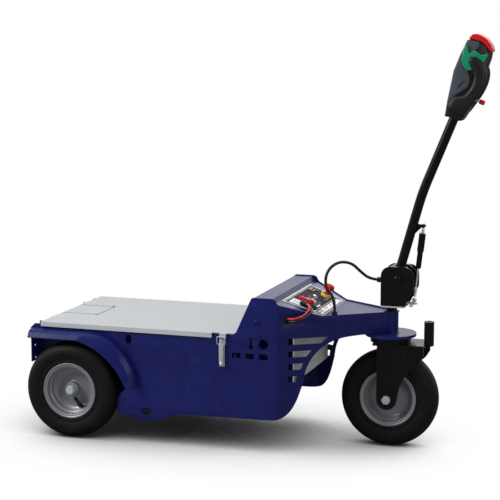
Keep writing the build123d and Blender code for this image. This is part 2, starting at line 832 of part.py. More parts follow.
def head_plan(grow):
    """The head's outline from above, which tapers to its nose, as a tall block."""
    with BuildPart() as block:
        with BuildSketch(Plane.XY.offset(1300)):
            with BuildLine():
                Polyline(
                    (steer_x + 150, -head_half_w - grow),
                    (head_nose_x - 52, -head_half_w - grow),
                    (head_nose_x, -nose_half - grow),
                    (head_nose_x, nose_half + grow),
                    (head_nose_x - 52, head_half_w + grow),
                    (steer_x + 150, head_half_w + grow),
                    close=True,
                )
            make_face()
        extrude(amount=400)
    return block.part


with BuildPart() as head_shell:
    with BuildSketch(Plane.XZ.offset(-head_half_w)):
        with BuildLine():
            Polyline(
                (750, 1346),
                (762, 1440),
                (786, 1523),
                (812, 1588),
                *shell_top,
                (906, 1520),
                (872, 1462),
                (846, 1400),
                (813, 1330),
                close=True,
            )
        make_face()
    extrude(amount=2 * head_half_w)
    add(head_plan(0), mode=Mode.INTERSECT)
    with BuildSketch(Plane(origin=path @ 1, z_dir=path % 1)):
        Circle(tube_r)
    extrude(amount=-high_run, mode=Mode.SUBTRACT)
    # Room for the fingers between each grip and the shell
    for side in (-1, 1):
        with Locations((finger_x, side * finger_y, finger_z)):
            Box(100, head_half_w, 108, align=(Align.MIN, Align.CENTER, Align.MIN), mode=Mode.SUBTRACT)
save(head_shell, "head_shell")

with BuildPart() as stop_button:
    with BuildSketch(Plane.XZ.offset(-head_half_w - 2)):
        with BuildLine():
            Polyline(
                *shell_top,
                (936, 1580),
                (930, 1606),
                (900, 1650),
                (870, 1664),
                (850, 1666),
                (840, 1656),
                close=True,
            )
        make_face()
    extrude(amount=2 * head_half_w + 4)
    add(head_plan(2), mode=Mode.INTERSECT)
save(stop_button, "stop_button")

# Thumb throttle: a paddle each side, turning on a hub
hub_at = (866, 1564)
hub_r = 12
paddle_t = 8
paddle_y = head_half_w + seat_gap
with BuildPart() as throttle:
    for side in (-1, 1):
        with BuildSketch(Plane.XZ.offset(-side * paddle_y)):
            with BuildLine():
                Polyline(
                    (828, 1624),
                    (841, 1624),
                    (846, 1598),
                    (872, 1592),
                    (890, 1582),
                    (918, 1592),
                    (906, 1566),
                    (890, 1548),
                    (872, 1532),
                    (848, 1524),
                    (828, 1536),
                    (818, 1562),
                    (820, 1596),
                    close=True,
                )
            make_face()
            with Locations(hub_at):
                Circle(hub_r + seat_gap, mode=Mode.SUBTRACT)
        extrude(amount=-side * paddle_t)
save(throttle, "throttle")

# Grips rise from a cuff round the shell's foot to the throttle's hubs
grip_r = 15
cuff_half = head_half_w + 4
with BuildPart() as grips:
    with BuildSketch(Plane.XZ.offset(-cuff_half)):
        with BuildLine():
            Polyline((743, 1345), (752, 1380), (800, 1412), (846, 1432), (860, 1424), (815, 1326), close=True)
        make_face()
    extrude(amount=2 * cuff_half)
    for side in (-1, 1):
        with BuildLine():
            grip_path = FilletPolyline(
                (812, side * 27, 1384),
                (848, side * 46, 1432),
                (886, side * 57, 1476),
                (890, side * 63, 1530),
                (hub_at[0] - 2, side * 63, hub_at[1] + 6),
                radius=28,
            )
        with BuildSketch(Plane(origin=grip_path @ 0, z_dir=grip_path % 0)):
            Circle(grip_r)
        sweep(path=grip_path)
        with BuildSketch(Plane.XZ.offset(-side * head_half_w)):
            with Locations(hub_at):
                Circle(hub_r)
        extrude(amount=-side * 22)
    add(head_shell.part, mode=Mode.SUBTRACT)
    with BuildSketch(Plane(origin=path @ 1, z_dir=path % 1)):
        Circle(tube_r)
    extrude(amount=-high_run, mode=Mode.SUBTRACT)
save(grips, "grips")

with BuildPart() as key_toggle:
    with Locations(Location((874, 0, 1408), (0, 110, 0))):
        Cylinder(3, 44)
    with Locations(Location((893, 0, 1401), (0, 20, 0))):
        Box(24, 12, 20)
    add(grips.part, mode=Mode.SUBTRACT)
    add(head_shell.part, mode=Mode.SUBTRACT)
save(key_toggle, "key_toggle")

# Panel fittings stand on the sloped panel
panel_pitch = math.degrees(math.atan2(panel_head_z - panel_foot_z + 2, panel_foot_x - ridge_front_x))


def panel_plane(x, y, lift=0.0):
    """Plane on the instrument panel at x, y, raised along its normal by lift."""
    drop = (x - ridge_front_x) * math.tan(math.radians(panel_pitch))
    on_panel = Plane(origin=(x, y, panel_head_z - drop), x_dir=(0, 1, 0),
                     z_dir=(math.sin(math.radians(panel_pitch)), 0, math.cos(math.radians(panel_pitch))))
    return on_panel.offset(lift)


with BuildPart() as instrument_plate:
    with BuildSketch(panel_plane(rear_x + 956, 0, 0)):
        with BuildLine():
            Polyline((-205, 80), (205, 80), (165, -84), (-165, -84), close=True)
        make_face()
    extrude(amount=1.5)
save(instrument_plate, "instrument_plate")

stop_x = rear_x + 974
stop_y = 120
with BuildPart() as emergency_collar:
    with BuildSketch(panel_plane(stop_x, stop_y, 1.5)):
        Circle(24)
    extrude(amount=12)
save(emergency_collar, "emergency_collar")

with BuildPart() as emergency_knob:
    with BuildSketch(panel_plane(stop_x, stop_y, 13.5)):
        Circle(9)
    extrude(amount=18)
    with BuildSketch(panel_plane(stop_x, stop_y, 31.5)):
        Circle(23)
    extrude(amount=18)
    with BuildSketch(panel_plane(stop_x, stop_y, 49.5)):
        Circle(23)
    extrude(amount=7, taper=45)
save(emergency_knob, "emergency_knob")

with BuildPart() as charge_gauge:
    with BuildSketch(panel_plane(rear_x + 908, 130, 1.5)):
        Rectangle(46, 30)
    extrude(amount=6)
save(charge_gauge, "charge_gauge")

# Power leads: out of the neck's side through a grommet and up to the connector on the panel
lead_r = 4
lead_routes = {
    "red_lead": (
        (172, -266, 548),
        (208, -288, 550),
        (250, -280, 560),
        (268, -242, 580),
        (258, -198, 592),
        (236, -172, 596),
    ),
    "black_lead": (
        (172, -266, 537),
        (208, -288, 539),
        (254, -284, 552),
        (278, -246, 570),
        (272, -202, 582),
        (252, -174, 586),
    ),
}
plug_x = rear_x + 965
plug_y = -125
boot_r = 7
with BuildPart() as power_connector:
    with BuildSketch(panel_plane(plug_x, plug_y, 1.5)):
        Rectangle(50, 60)
    extrude(amount=26)
    for route in lead_routes.values():
        before, end = Vector(*route[-2]), Vector(*route[-1])
        with BuildSketch(Plane(origin=end, z_dir=end - before)):
            Circle(boot_r)
        extrude(amount=32)
save(power_connector, "power_connector")

grommet_at = (rear_x + grommet_x, -half_width(rear_x + grommet_x), grommet_z)
grommet_out = (math.sin(math.radians(neck_angle)), -math.cos(math.radians(neck_angle)), 0)
with BuildPart() as lead_grommet:
    with BuildSketch(Plane(origin=grommet_at, z_dir=grommet_out)):
        Circle(grommet_r + 4)
        Circle(grommet_r - 1, mode=Mode.SUBTRACT)
    extrude(amount=2)
save(lead_grommet, "lead_grommet")

# Control cable: gland on the neck, cable up and over, gland on the tiller bracket
cable_r = 6
with BuildPart() as cable_glands:
    with Locations((rear_x + 1084, -148, panel_foot_z - 2)):
        Cylinder(11, 16, align=(Align.CENTER, Align.CENTER, Align.MIN))
save(cable_glands, "neck_gland")
gland_y = -40
gland_z = 686
with BuildPart() as bracket_gland:
    with Locations((bracket_rear_x - 8, gland_y, gland_z)):
        Cylinder(11, 16, rotation=(0, 90, 0))
save(bracket_gland, "bracket_gland")


def cord(points, radius, name):
    """A cord as straight runs joined by the largest tangent arcs that they allow."""
    runs = [Vector(*points[i + 1]) - Vector(*points[i]) for i in range(len(points) - 1)]
    turns = [math.radians(runs[i].get_angle(runs[i + 1])) for i in range(len(runs) - 1)]
    radii = [
        0.45 * min(runs[i].length, runs[i + 1].length) / math.tan(turn / 2)
        for i, turn in enumerate(turns)
    ]
    with BuildPart() as body:
        with BuildLine():
            route = FilletPolyline(*points, radius=radii)
        with BuildSketch(Plane(origin=route @ 0, z_dir=route % 0)):
            Circle(radius)
        sweep(path=route)
    shortfall = body.part.volume / (math.pi * radius**2 * route.length)
    print(name, "length", round(route.length), "volume ratio", round(shortfall, 4),
          "radii", [round(r) for r in radii], "runs", [round(run.length) for run in runs])
    save(body, name)


control_route = (
    (rear_x + 1084, -148, panel_foot_z + 14),
    (rear_x + 1084, -148, 620),
    (rear_x + 1045, -154, 664),
    (rear_x + 1046, -147, 722),
    (rear_x + 1084, -122, 759),
    (rear_x + 1131, -88, 752),
    (rear_x + 1153, -54, 708),
    (rear_x + 1190, gland_y, gland_z),
    (bracket_rear_x - 16, gland_y, gland_z),
)
cord(control_route, cable_r, "control_cable")
for name, route in lead_routes.items():
    cord(route, lead_r, name)
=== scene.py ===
"""Looks of the electric transport cart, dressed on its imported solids, in metres."""
import json
import logging
import math
from collections.abc import Iterable, Sequence
from dataclasses import dataclass
from enum import Enum

import bmesh
import bpy
from mathutils import Matrix, Vector


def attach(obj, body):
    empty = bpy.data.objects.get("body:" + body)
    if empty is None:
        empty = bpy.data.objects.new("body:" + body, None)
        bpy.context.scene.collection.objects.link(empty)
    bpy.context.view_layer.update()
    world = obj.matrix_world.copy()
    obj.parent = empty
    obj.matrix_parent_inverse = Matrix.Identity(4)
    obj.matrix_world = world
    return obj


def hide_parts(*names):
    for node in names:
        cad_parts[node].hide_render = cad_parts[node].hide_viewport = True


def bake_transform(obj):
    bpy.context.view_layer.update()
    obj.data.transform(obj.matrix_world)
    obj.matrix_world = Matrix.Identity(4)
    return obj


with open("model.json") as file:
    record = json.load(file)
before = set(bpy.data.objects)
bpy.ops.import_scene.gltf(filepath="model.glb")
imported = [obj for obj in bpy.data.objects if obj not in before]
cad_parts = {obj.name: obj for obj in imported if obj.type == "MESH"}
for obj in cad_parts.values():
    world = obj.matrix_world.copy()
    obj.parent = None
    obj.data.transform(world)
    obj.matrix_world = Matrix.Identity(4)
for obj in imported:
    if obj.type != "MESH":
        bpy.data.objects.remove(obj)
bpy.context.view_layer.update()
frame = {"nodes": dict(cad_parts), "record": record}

MM = 0.001

# Driving places of the machine, in millimetres
REAR_X = -736.5
FRONT_X = 544.5
WHEEL_RADIUS = 200.0
DECK_Z = 480.0

log = logging.getLogger("cart")

Colour = tuple[float, float, float]
Point = tuple[float, float, float]


class Side(Enum):
    """The machine's right and left, as the sign of Y."""

    RIGHT = -1
    LEFT = 1


class Pattern(Enum):
    """The surface character a finish can have besides its grain."""

    PLAIN = "plain"
    SPANGLE = "spangle"
    BRUSHED = "brushed"
    RUBBER = "rubber"


class Wire:
    """A socket inside a material, with maths on it written as plain expressions."""

    def __init__(self, graph: "Graph", source: bpy.types.NodeSocket) -> None:
        """Wrap a socket of a graph."""
        self.graph = graph
        self.source = source

    def _maths(self, operation: str, *values: "Wire | float") -> "Wire":
        """Add one Math node.

        Args:
            operation: the Math node's operation.
            values: its inputs in order.

        Returns:
            The node's result.
        """
        return self.graph.node("ShaderNodeMath", {"operation": operation}, dict(enumerate(values)))

    def __add__(self, other: "Wire | float") -> "Wire":
        """Sum."""
        return self._maths("ADD", self, other)

    def __radd__(self, other: float) -> "Wire":
        """Sum, reflected."""
        return self._maths("ADD", other, self)

    def __sub__(self, other: "Wire | float") -> "Wire":
        """Difference."""
        return self._maths("SUBTRACT", self, other)

    def __rsub__(self, other: float) -> "Wire":
        """Difference, reflected."""
        return self._maths("SUBTRACT", other, self)

    def __mul__(self, other: "Wire | float") -> "Wire":
        """Product."""
        return self._maths("MULTIPLY", self, other)

    def __rmul__(self, other: float) -> "Wire":
        """Product, reflected."""
        return self._maths("MULTIPLY", other, self)

    def peak(self, other: "Wire | float") -> "Wire":
        """The larger of two values."""
        return self._maths("MAXIMUM", self, other)


class Graph:
    """The nodes of one material."""

    def __init__(self, name: str) -> None:
        """Start a material that holds a Principled shader.

        Args:
            name: the material's name.
        """
        self.material = bpy.data.materials.new(name)
        self.material.use_nodes = True
        self.tree = self.material.node_tree
        self.tree.nodes.clear()
        self.shader = self.tree.nodes.new("ShaderNodeBsdfPrincipled")
        self.output = self.tree.nodes.new("ShaderNodeOutputMaterial")
        self.tree.links.new(self.shader.outputs["BSDF"], self.output.inputs["Surface"])

    def node(
        self,
        kind: str,
        settings: dict[str, object] | None = None,
        inputs: "dict[str | int, Wire | float | Sequence[float]] | None" = None,
        output: str | int = 0,
    ) -> Wire:
        """Add any node.

        Args:
            kind: the node's type.
            settings: its properties, or a ramp's stops, set before the sockets.
            inputs: values or links of its sockets, by name or number.
            output: which output is wanted.

        Returns:
            That output.
        """
        made = self.tree.nodes.new(kind)
        for key, value in (settings or {}).items():
            if key == "stops":
                self._stops(made.color_ramp, value)
            else:
                setattr(made, key, value)
        for key, value in (inputs or {}).items():
            self.feed(made.inputs[key], value)
        return Wire(self, made.outputs[output])

    @staticmethod
    def _stops(ramp: bpy.types.ColorRamp, stops: Sequence[tuple[float, Colour]]) -> None:
        """Set a ramp's stops.

        Args:
            ramp: the ramp.
            stops: place and colour of each stop.
        """
        while len(ramp.elements) < len(stops):
            ramp.elements.new(1.0)
        for element, (place, colour) in zip(ramp.elements, stops):
            element.position = place
            element.color = (*colour, 1.0)

    def feed(self, socket: bpy.types.NodeSocket, value: "Wire | float | Sequence[float]") -> None:
        """Set a socket or link it.

        Args:
            socket: the input.
            value: a number, a vector or colour, or another output.
        """
        if isinstance(value, Wire):
            self.tree.links.new(value.source, socket)
        elif isinstance(value, (tuple, list)) and socket.type == "RGBA" and len(value) == 3:
            socket.default_value = (*value, 1.0)
        else:
            socket.default_value = value

    def set(self, **sockets: "Wire | float | Sequence[float]") -> None:
        """Feed the Principled shader's sockets, named with underscores for spaces."""
        for name, value in sockets.items():
            self.feed(self.shader.inputs[name.replace("_", " ").title().replace("Ior", "IOR")], value)

    def place(self, scale: Sequence[float] = (1.0, 1.0, 1.0),
              turn: Sequence[float] = (0.0, 0.0, 0.0)) -> Wire:
        """Object coordinates, stretched and turned."""
        where = self.node("ShaderNodeTexCoord", output="Object")
        return self.node("ShaderNodeMapping", inputs={"Vector": where, "Scale": scale, "Rotation": turn})

    def noise(self, where: Wire, scale: float, detail: float = 3.0, rough: float = 0.5) -> Wire:
        """Cloudy values from 0 to 1."""
        return self.node(
            "ShaderNodeTexNoise", inputs={"Vector": where, "Scale": scale, "Detail": detail,
                                          "Roughness": rough}
        )

    def mask(self, value: Wire, low: float, high: float) -> Wire:
        """A smooth step of value between low and high."""
        return self.node(
            "ShaderNodeMapRange",
            {"interpolation_type": "SMOOTHSTEP", "clamp": True},
            {"Value": value, "From Min": low, "From Max": high},
        )

    def mix(self, share: Wire, first: "Wire | Colour", second: "Wire | Colour") -> Wire:
        """Blend of two colours.

        Args:
            share: how much of the second.
            first: a colour.
            second: another.

        Returns:
            The blend.
        """
        made = self.tree.nodes.new("ShaderNodeMix")
        made.data_type = "RGBA"
        self.feed(made.inputs[0], share)
        self.feed(made.inputs[6], first)
        self.feed(made.inputs[7], second)
        return Wire(self, made.outputs[2])

    def worn_edge(self, radius: float) -> Wire:
        """A value that rises from 0 along the edges.

        Args:
            radius: how far from an edge it reaches.

        Returns:
            The value.
        """
        rounded = self.node("ShaderNodeBevel", {"samples": 4}, {"Radius": radius})
        flat = self.node("ShaderNodeNewGeometry", output="Normal")
        facing = self.node("ShaderNodeVectorMath", {"operation": "DOT_PRODUCT"}, {0: rounded, 1: flat},
                           "Value")
        return self.mask(facing, 0.999, 0.93)


@dataclass(frozen=True)
class Finish:
    """A surface finish: colour, gloss, grain and the marks of use."""

    name: str
    colour: Colour
    rough: float
    metal: float = 0.0
    pattern: Pattern = Pattern.PLAIN
    grain: float = 400.0
    grain_depth: float = 0.00003
    mottle: float = 0.10
    dust: float = 0.04
    dust_colour: Colour = (0.42, 0.40, 0.37)
    edge: float = 0.0
    edge_colour: Colour = (0.55, 0.55, 0.56)
    edge_share: float = 0.25
    rounding: float = 0.0012
    shine: float = 0.5

    def material(self) -> bpy.types.Material:
        """The finish as a node material, made once.

        Returns:
            The material.
        """
        known = bpy.data.materials.get(self.name)
        if known:
            return known
        graph = Graph(self.name)
        place = graph.place()
        cloud = graph.noise(place, 7.0, 4.0, 0.55)
        fine = graph.noise(place, self.grain, 3.0)
        dark = tuple(channel * (1.0 - self.mottle) for channel in self.colour)
        light = tuple(min(1.0, channel * (1.0 + self.mottle)) for channel in self.colour)
        colour = graph.mix(graph.mask(cloud, 0.3, 0.7), dark, light)
        height = fine
        rough = self.rough + (cloud - 0.5) * (0.35 * self.rough) + (fine - 0.5) * (0.2 * self.rough)
        if self.pattern is Pattern.SPANGLE:
            cells = graph.node("ShaderNodeTexVoronoi", inputs={"Vector": place, "Scale": 95.0},
                               output="Color")
            tone = graph.node("ShaderNodeSeparateColor", inputs={"Color": cells}, output="Red")
            colour = graph.mix(tone * 0.45, colour, tuple(channel * 0.62 for channel in self.colour))
            rough = rough + (tone - 0.5) * 0.18
        if self.pattern is Pattern.BRUSHED:
            streak = graph.noise(graph.place((1.0, 1.0, 0.03)), 900.0, 2.0)
            rough = rough + (streak - 0.5) * 0.22
            height = streak
        if self.pattern is Pattern.RUBBER:
            scuff = graph.mask(graph.noise(place, 34.0, 6.0, 0.7), 0.55, 0.75)
            colour = graph.mix(scuff * 0.3, colour, (0.030, 0.029, 0.028))
            rough = rough + scuff * 0.12
        if self.dust:
            settled = graph.mask(graph.noise(place, 19.0, 7.0, 0.65), 0.52, 0.86) * self.dust * 3.0
            colour = graph.mix(settled, colour, self.dust_colour)
            rough = rough + settled * 0.3
        if self.edge:
            chips = graph.mask(graph.noise(place, 160.0, 4.0, 0.6), 0.50, 0.62)
            wear = graph.worn_edge(self.edge) * chips * self.edge_share
            colour = graph.mix(wear, colour, self.edge_colour)
        rounded = graph.node("ShaderNodeBevel", {"samples": 4}, {"Radius": self.rounding})
        bump = graph.node(
            "ShaderNodeBump", inputs={"Height": height, "Strength": 1.0, "Distance": self.grain_depth,
                                      "Normal": rounded}
        )
        graph.set(base_color=colour, roughness=rough, normal=bump, metallic=self.metal,
                  specular_ior_level=self.shine)
        return graph.material


BLUE = Finish("blue_enamel", (0.0085, 0.0115, 0.098), 0.27, grain=260.0, grain_depth=0.00002, mottle=0.08,
              dust=0.012, edge=0.0010, edge_share=0.12, shine=0.20)
LID_GREY = Finish("lid_enamel", (0.435, 0.45, 0.462), 0.5, grain=900.0, grain_depth=0.00004, mottle=0.025,
                  dust=0.02, dust_colour=(0.42, 0.41, 0.40), edge=0.0010, edge_share=0.15, shine=0.35)
BLACK = Finish("black_enamel", (0.0050, 0.0050, 0.0056), 0.27, grain=500.0, grain_depth=0.00003, dust=0.006,
               edge=0.0010, edge_share=0.22, shine=0.17)
SILVER = Finish("silver_enamel", (0.25, 0.255, 0.275), 0.46, metal=0.5, grain=1400.0, mottle=0.06, dust=0.02)
BRIGHT_ZINC = Finish("bright_zinc_plate", (0.86, 0.87, 0.88), 0.24, metal=0.35, pattern=Pattern.BRUSHED,
                     dust=0.004)
ZINC = Finish("zinc_plate", (0.66, 0.69, 0.72), 0.32, metal=0.55, pattern=Pattern.BRUSHED, dust=0.01)
GALVANISED = Finish("galvanised_sheet", (0.56, 0.56, 0.55), 0.46, metal=0.25, pattern=Pattern.SPANGLE,
                    dust=0.02)
TYRE = Finish("tyre_rubber", (0.0060, 0.0060, 0.0064), 0.56, pattern=Pattern.RUBBER, grain=700.0,
              grain_depth=0.0001, dust=0.006, dust_colour=(0.05, 0.048, 0.046), shine=0.15)
BATTERY = Finish("battery_case", (0.012, 0.012, 0.013), 0.55, grain=600.0, grain_depth=0.0001, dust=0.06,
                 shine=0.3)
BLACK_PLASTIC = Finish("black_moulding", (0.0050, 0.0050, 0.0058), 0.40, grain=1500.0, grain_depth=0.00008,
                       dust=0.01, shine=0.35)
GRIP_RUBBER = Finish("grip_rubber", (0.0085, 0.0075, 0.0070), 0.46, pattern=Pattern.RUBBER, grain=1600.0,
                     grain_depth=0.0001, dust=0.01, shine=0.35)
CABLE_RUBBER = Finish("cable_jacket", (0.0060, 0.0060, 0.0064), 0.36, grain=1200.0, grain_depth=0.00006,
                      dust=0.006, shine=0.4)
LEAD_BLACK = Finish("black_lead_jacket", (0.0065, 0.0065, 0.0070), 0.34, grain=1200.0, grain_depth=0.00005,
                    dust=0.006, shine=0.4)
LEAD_RED = Finish("red_lead_jacket", (0.60, 0.010, 0.008), 0.32, grain=1200.0, grain_depth=0.00005,
                  dust=0.006)
HEAD_GREY = Finish("head_moulding", (0.058, 0.066, 0.086), 0.44, grain=1700.0, grain_depth=0.0001, dust=0.01,
                   shine=0.4)
CONNECTOR_GREY = Finish("connector_moulding", (0.21, 0.215, 0.22), 0.42, grain=1300.0, grain_depth=0.00008,
                        dust=0.03)
RED = Finish("red_moulding", (0.60, 0.008, 0.012), 0.42, grain=900.0, dust=0.004, shine=0.18)
YELLOW = Finish("yellow_moulding", (0.74, 0.52, 0.06), 0.36, grain=900.0, dust=0.01)
GREEN = Finish("green_moulding", (0.004, 0.27, 0.125), 0.24, grain=900.0, dust=0.006)
DECAL = Finish("decal_film", (0.030, 0.028, 0.032), 0.62, grain=700.0, dust=0.012, mottle=0.15, shine=0.04)
DECAL_WHITE = Finish("decal_white", (0.80, 0.80, 0.82), 0.5, grain=700.0, mottle=0.02, dust=0.01)
DECAL_GREY = Finish("decal_grey", (0.26, 0.26, 0.28), 0.55, grain=700.0, mottle=0.05, dust=0.01)
DECAL_GREEN = Finish("decal_green", (0.02, 0.20, 0.10), 0.32, grain=700.0, mottle=0.05, dust=0.01)
DECAL_RED = Finish("decal_red", (0.62, 0.03, 0.03), 0.32, grain=700.0, mottle=0.05, dust=0.01)
GAUGE_GLASS = Finish("gauge_window", (0.30, 0.26, 0.12), 0.16, grain=900.0, mottle=0.1, dust=0.01)

NODE_FINISH = {
    "blue_paint": BLUE,
    "lid_paint": LID_GREY,
    "black_paint": BLACK,
    "silver_paint": SILVER,
    "galvanised": GALVANISED,
    "zinc": ZINC,
    "tyre": TYRE,
    "battery": BATTERY,
    "black_plastic": BLACK_PLASTIC,
    "black_rubber": GRIP_RUBBER,
    "red_rubber": LEAD_RED,
    "grey_plastic": HEAD_GREY,
    "connector_grey": CONNECTOR_GREY,
    "yellow_plastic": YELLOW,
    "red_plastic": RED,
    "green_plastic": GREEN,
    "decal": DECAL,
}

NODE_LOOK = {"bracket_cover": BLACK}


def dress_solids() -> None:
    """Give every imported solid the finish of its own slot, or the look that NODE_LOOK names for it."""
    slots = {part["node"]: part["material_slot"] for part in frame["record"]["subparts"]}
    for name, solid in frame["nodes"].items():
        material = NODE_LOOK.get(name, NODE_FINISH[slots[name]]).material()
        if not solid.data.materials:
            solid.data.materials.append(material)
        for index in range(len(solid.data.materials)):
            solid.data.materials[index] = material
    log.info("dressed %d solids", len(slots))


@dataclass
class Studio:
    """Floor, lamps, world and the camera at the photograph's place."""

    lens: float = 110.77
    camera_at: Point = (1.9163, -5.9920, 1.7225)
    pitch_down: float = 8.55
    heading: float = 18.23
    floor_half: float = 60.0
    shadow_reach: float = 0.75
    ambient: float = 0.30
    mirrored_floor: float = 0.22
    mirrored_front: float = 0.10

    def camera(self) -> None:
        """Place the camera."""
        data = bpy.data.cameras.new("camera")
        data.lens = self.lens
        data.sensor_width = 36.0
        data.clip_end = 200.0
        camera = bpy.data.objects.new("camera", data)
        camera.location = self.camera_at
        camera.rotation_euler = (math.radians(90.0 - self.pitch_down), 0.0, math.radians(self.heading))
        bpy.context.collection.objects.link(camera)
        bpy.context.scene.camera = camera

    def floor(self) -> None:
        """Lay a pale floor that looks white to the camera and keeps its shadow."""
        mesh = bmesh.new()
        bmesh.ops.create_grid(mesh, x_segments=1, y_segments=1, size=self.floor_half)
        data = bpy.data.meshes.new("floor")
        mesh.to_mesh(data)
        mesh.free()
        floor = bpy.data.objects.new("floor", data)
        floor.location.z = -0.0005
        bpy.context.collection.objects.link(floor)
        graph = Graph("floor_paper")
        near = graph.node("ShaderNodeAmbientOcclusion", {"samples": 16}, {"Distance": self.shadow_reach},
                          "AO")
        shade = graph.mix(graph.mask(near, 0.12, 0.92), (0.012, 0.012, 0.014), (1.0, 1.0, 1.0))
        seen = graph.node("ShaderNodeEmission",
                          inputs={"Color": shade, "Strength": self.seen_strength(graph)})
        lit = graph.node("ShaderNodeBsdfDiffuse", inputs={"Color": (0.50, 0.50, 0.51)})
        paper = graph.node("ShaderNodeMixShader", inputs={0: self.shown(graph), 1: lit, 2: seen})
        graph.feed(graph.output.inputs["Surface"], paper)
        graph.tree.nodes.remove(graph.shader)
        data.materials.append(graph.material)

    @staticmethod
    def shown(graph: Graph) -> Wire:
        """Where a ray comes from the camera, straight or through a reflection.

        Args:
            graph: the material's nodes.

        Returns:
            1 for such a ray.
        """
        straight = graph.node("ShaderNodeLightPath", output="Is Camera Ray")
        mirrored = graph.node("ShaderNodeLightPath", output="Is Glossy Ray")
        through = graph.node("ShaderNodeLightPath", output="Is Transmission Ray")
        return straight.peak(mirrored).peak(through)

    def seen_strength(self, graph: Graph) -> Wire:
        """White straight to the camera, and duller in the reflections of a dark room."""
        return 1.0 - graph.node("ShaderNodeLightPath", output="Is Glossy Ray") * (1.0 - self.mirrored_floor)

    def world(self) -> None:
        """Soft even light from all round, white to the camera and dark in front of the machine."""
        world = bpy.data.worlds.new("studio")
        world.use_nodes = True
        graph = Graph("studio_light")
        graph.tree = world.node_tree
        graph.tree.nodes.clear()
        output = graph.tree.nodes.new("ShaderNodeOutputWorld")
        lit = graph.node("ShaderNodeBackground",
                         inputs={"Color": (0.96, 0.97, 1.0), "Strength": self.ambient})
        towards = graph.node("ShaderNodeTexCoord", output="Generated")
        across_room = graph.node("ShaderNodeSeparateXYZ", inputs={"Vector": towards}, output="Y")
        front = 1.0 - graph.mask(across_room, -0.35, 0.25)
        mirrored = graph.node("ShaderNodeLightPath", output="Is Glossy Ray")
        strength = 1.0 - mirrored * front * (1.0 - self.mirrored_front)
        seen = graph.node("ShaderNodeBackground", inputs={"Color": (1.0, 1.0, 1.0), "Strength": strength})
        sky = graph.node("ShaderNodeMixShader", inputs={0: self.shown(graph), 1: lit, 2: seen})
        graph.feed(output.inputs["Surface"], sky)
        bpy.data.materials.remove(graph.material)
        bpy.context.scene.world = world

    def lamp(self, name: str, at: Point, aim: Point, size: float, power: float) -> None:
        """Hang one square soft lamp.

        Args:
            name: the lamp's name.
            at: where it hangs.
            aim: where it points.
            size: its edge.
            power: its watts.
        """
        data = bpy.data.lights.new(name, "AREA")
        data.shape = "SQUARE"
        data.size = size
        data.energy = power
        lamp = bpy.data.objects.new(name, data)
        lamp.location = at
        lamp.rotation_euler = (Vector(aim) - Vector(at)).to_track_quat("-Z", "Y").to_euler()
        bpy.context.collection.objects.link(lamp)

    def build(self) -> None:
        """Set up the whole studio."""
        self.camera()
        self.floor()
        self.world()
        self.lamp("key_lamp", (-3.2, -2.4, 3.0), (0.0, 0.0, 0.3), 1.4, 150.0)
        self.lamp("top_lamp", (0.2, 0.4, 4.4), (0.0, 0.0, 0.4), 2.6, 72.0)
        self.lamp("fill_lamp", (3.6, -3.6, 2.2), (0.2, 0.0, 0.4), 2.4, 50.0)
        self.lamp("back_lamp", (0.8, 4.2, 3.0), (0.0, 0.0, 0.4), 2.4, 40.0)
        bpy.context.scene.view_settings.view_transform = "Standard"


def across(at: Point, towards: Point) -> Matrix:
    """A placing whose own Z runs along a direction.

    Args:
        at: its origin in millimetres.
        towards: the direction of its Z.

    Returns:
        The placing.
    """
    return Matrix.Translation(at) @ Vector(towards).to_track_quat("Z", "Y").to_matrix().to_4x4()


def side_on(x: float, y: float, z: float, side: Side = Side.RIGHT) -> Matrix:
    """A placing seen from the machine's side: own X forward, own Y up, own Z outboard.

    Args:
        x: its origin along the machine.
        y: its origin across the machine.
        z: its origin's height.
        side: the side that it faces.

    Returns:
        The placing.
    """
    turn = Matrix.Rotation(math.radians(90.0), 4, "X")
    if side is Side.LEFT:
        turn = Matrix.Diagonal((1.0, -1.0, 1.0, 1.0)) @ turn
    return Matrix.Translation((x, y, z)) @ turn


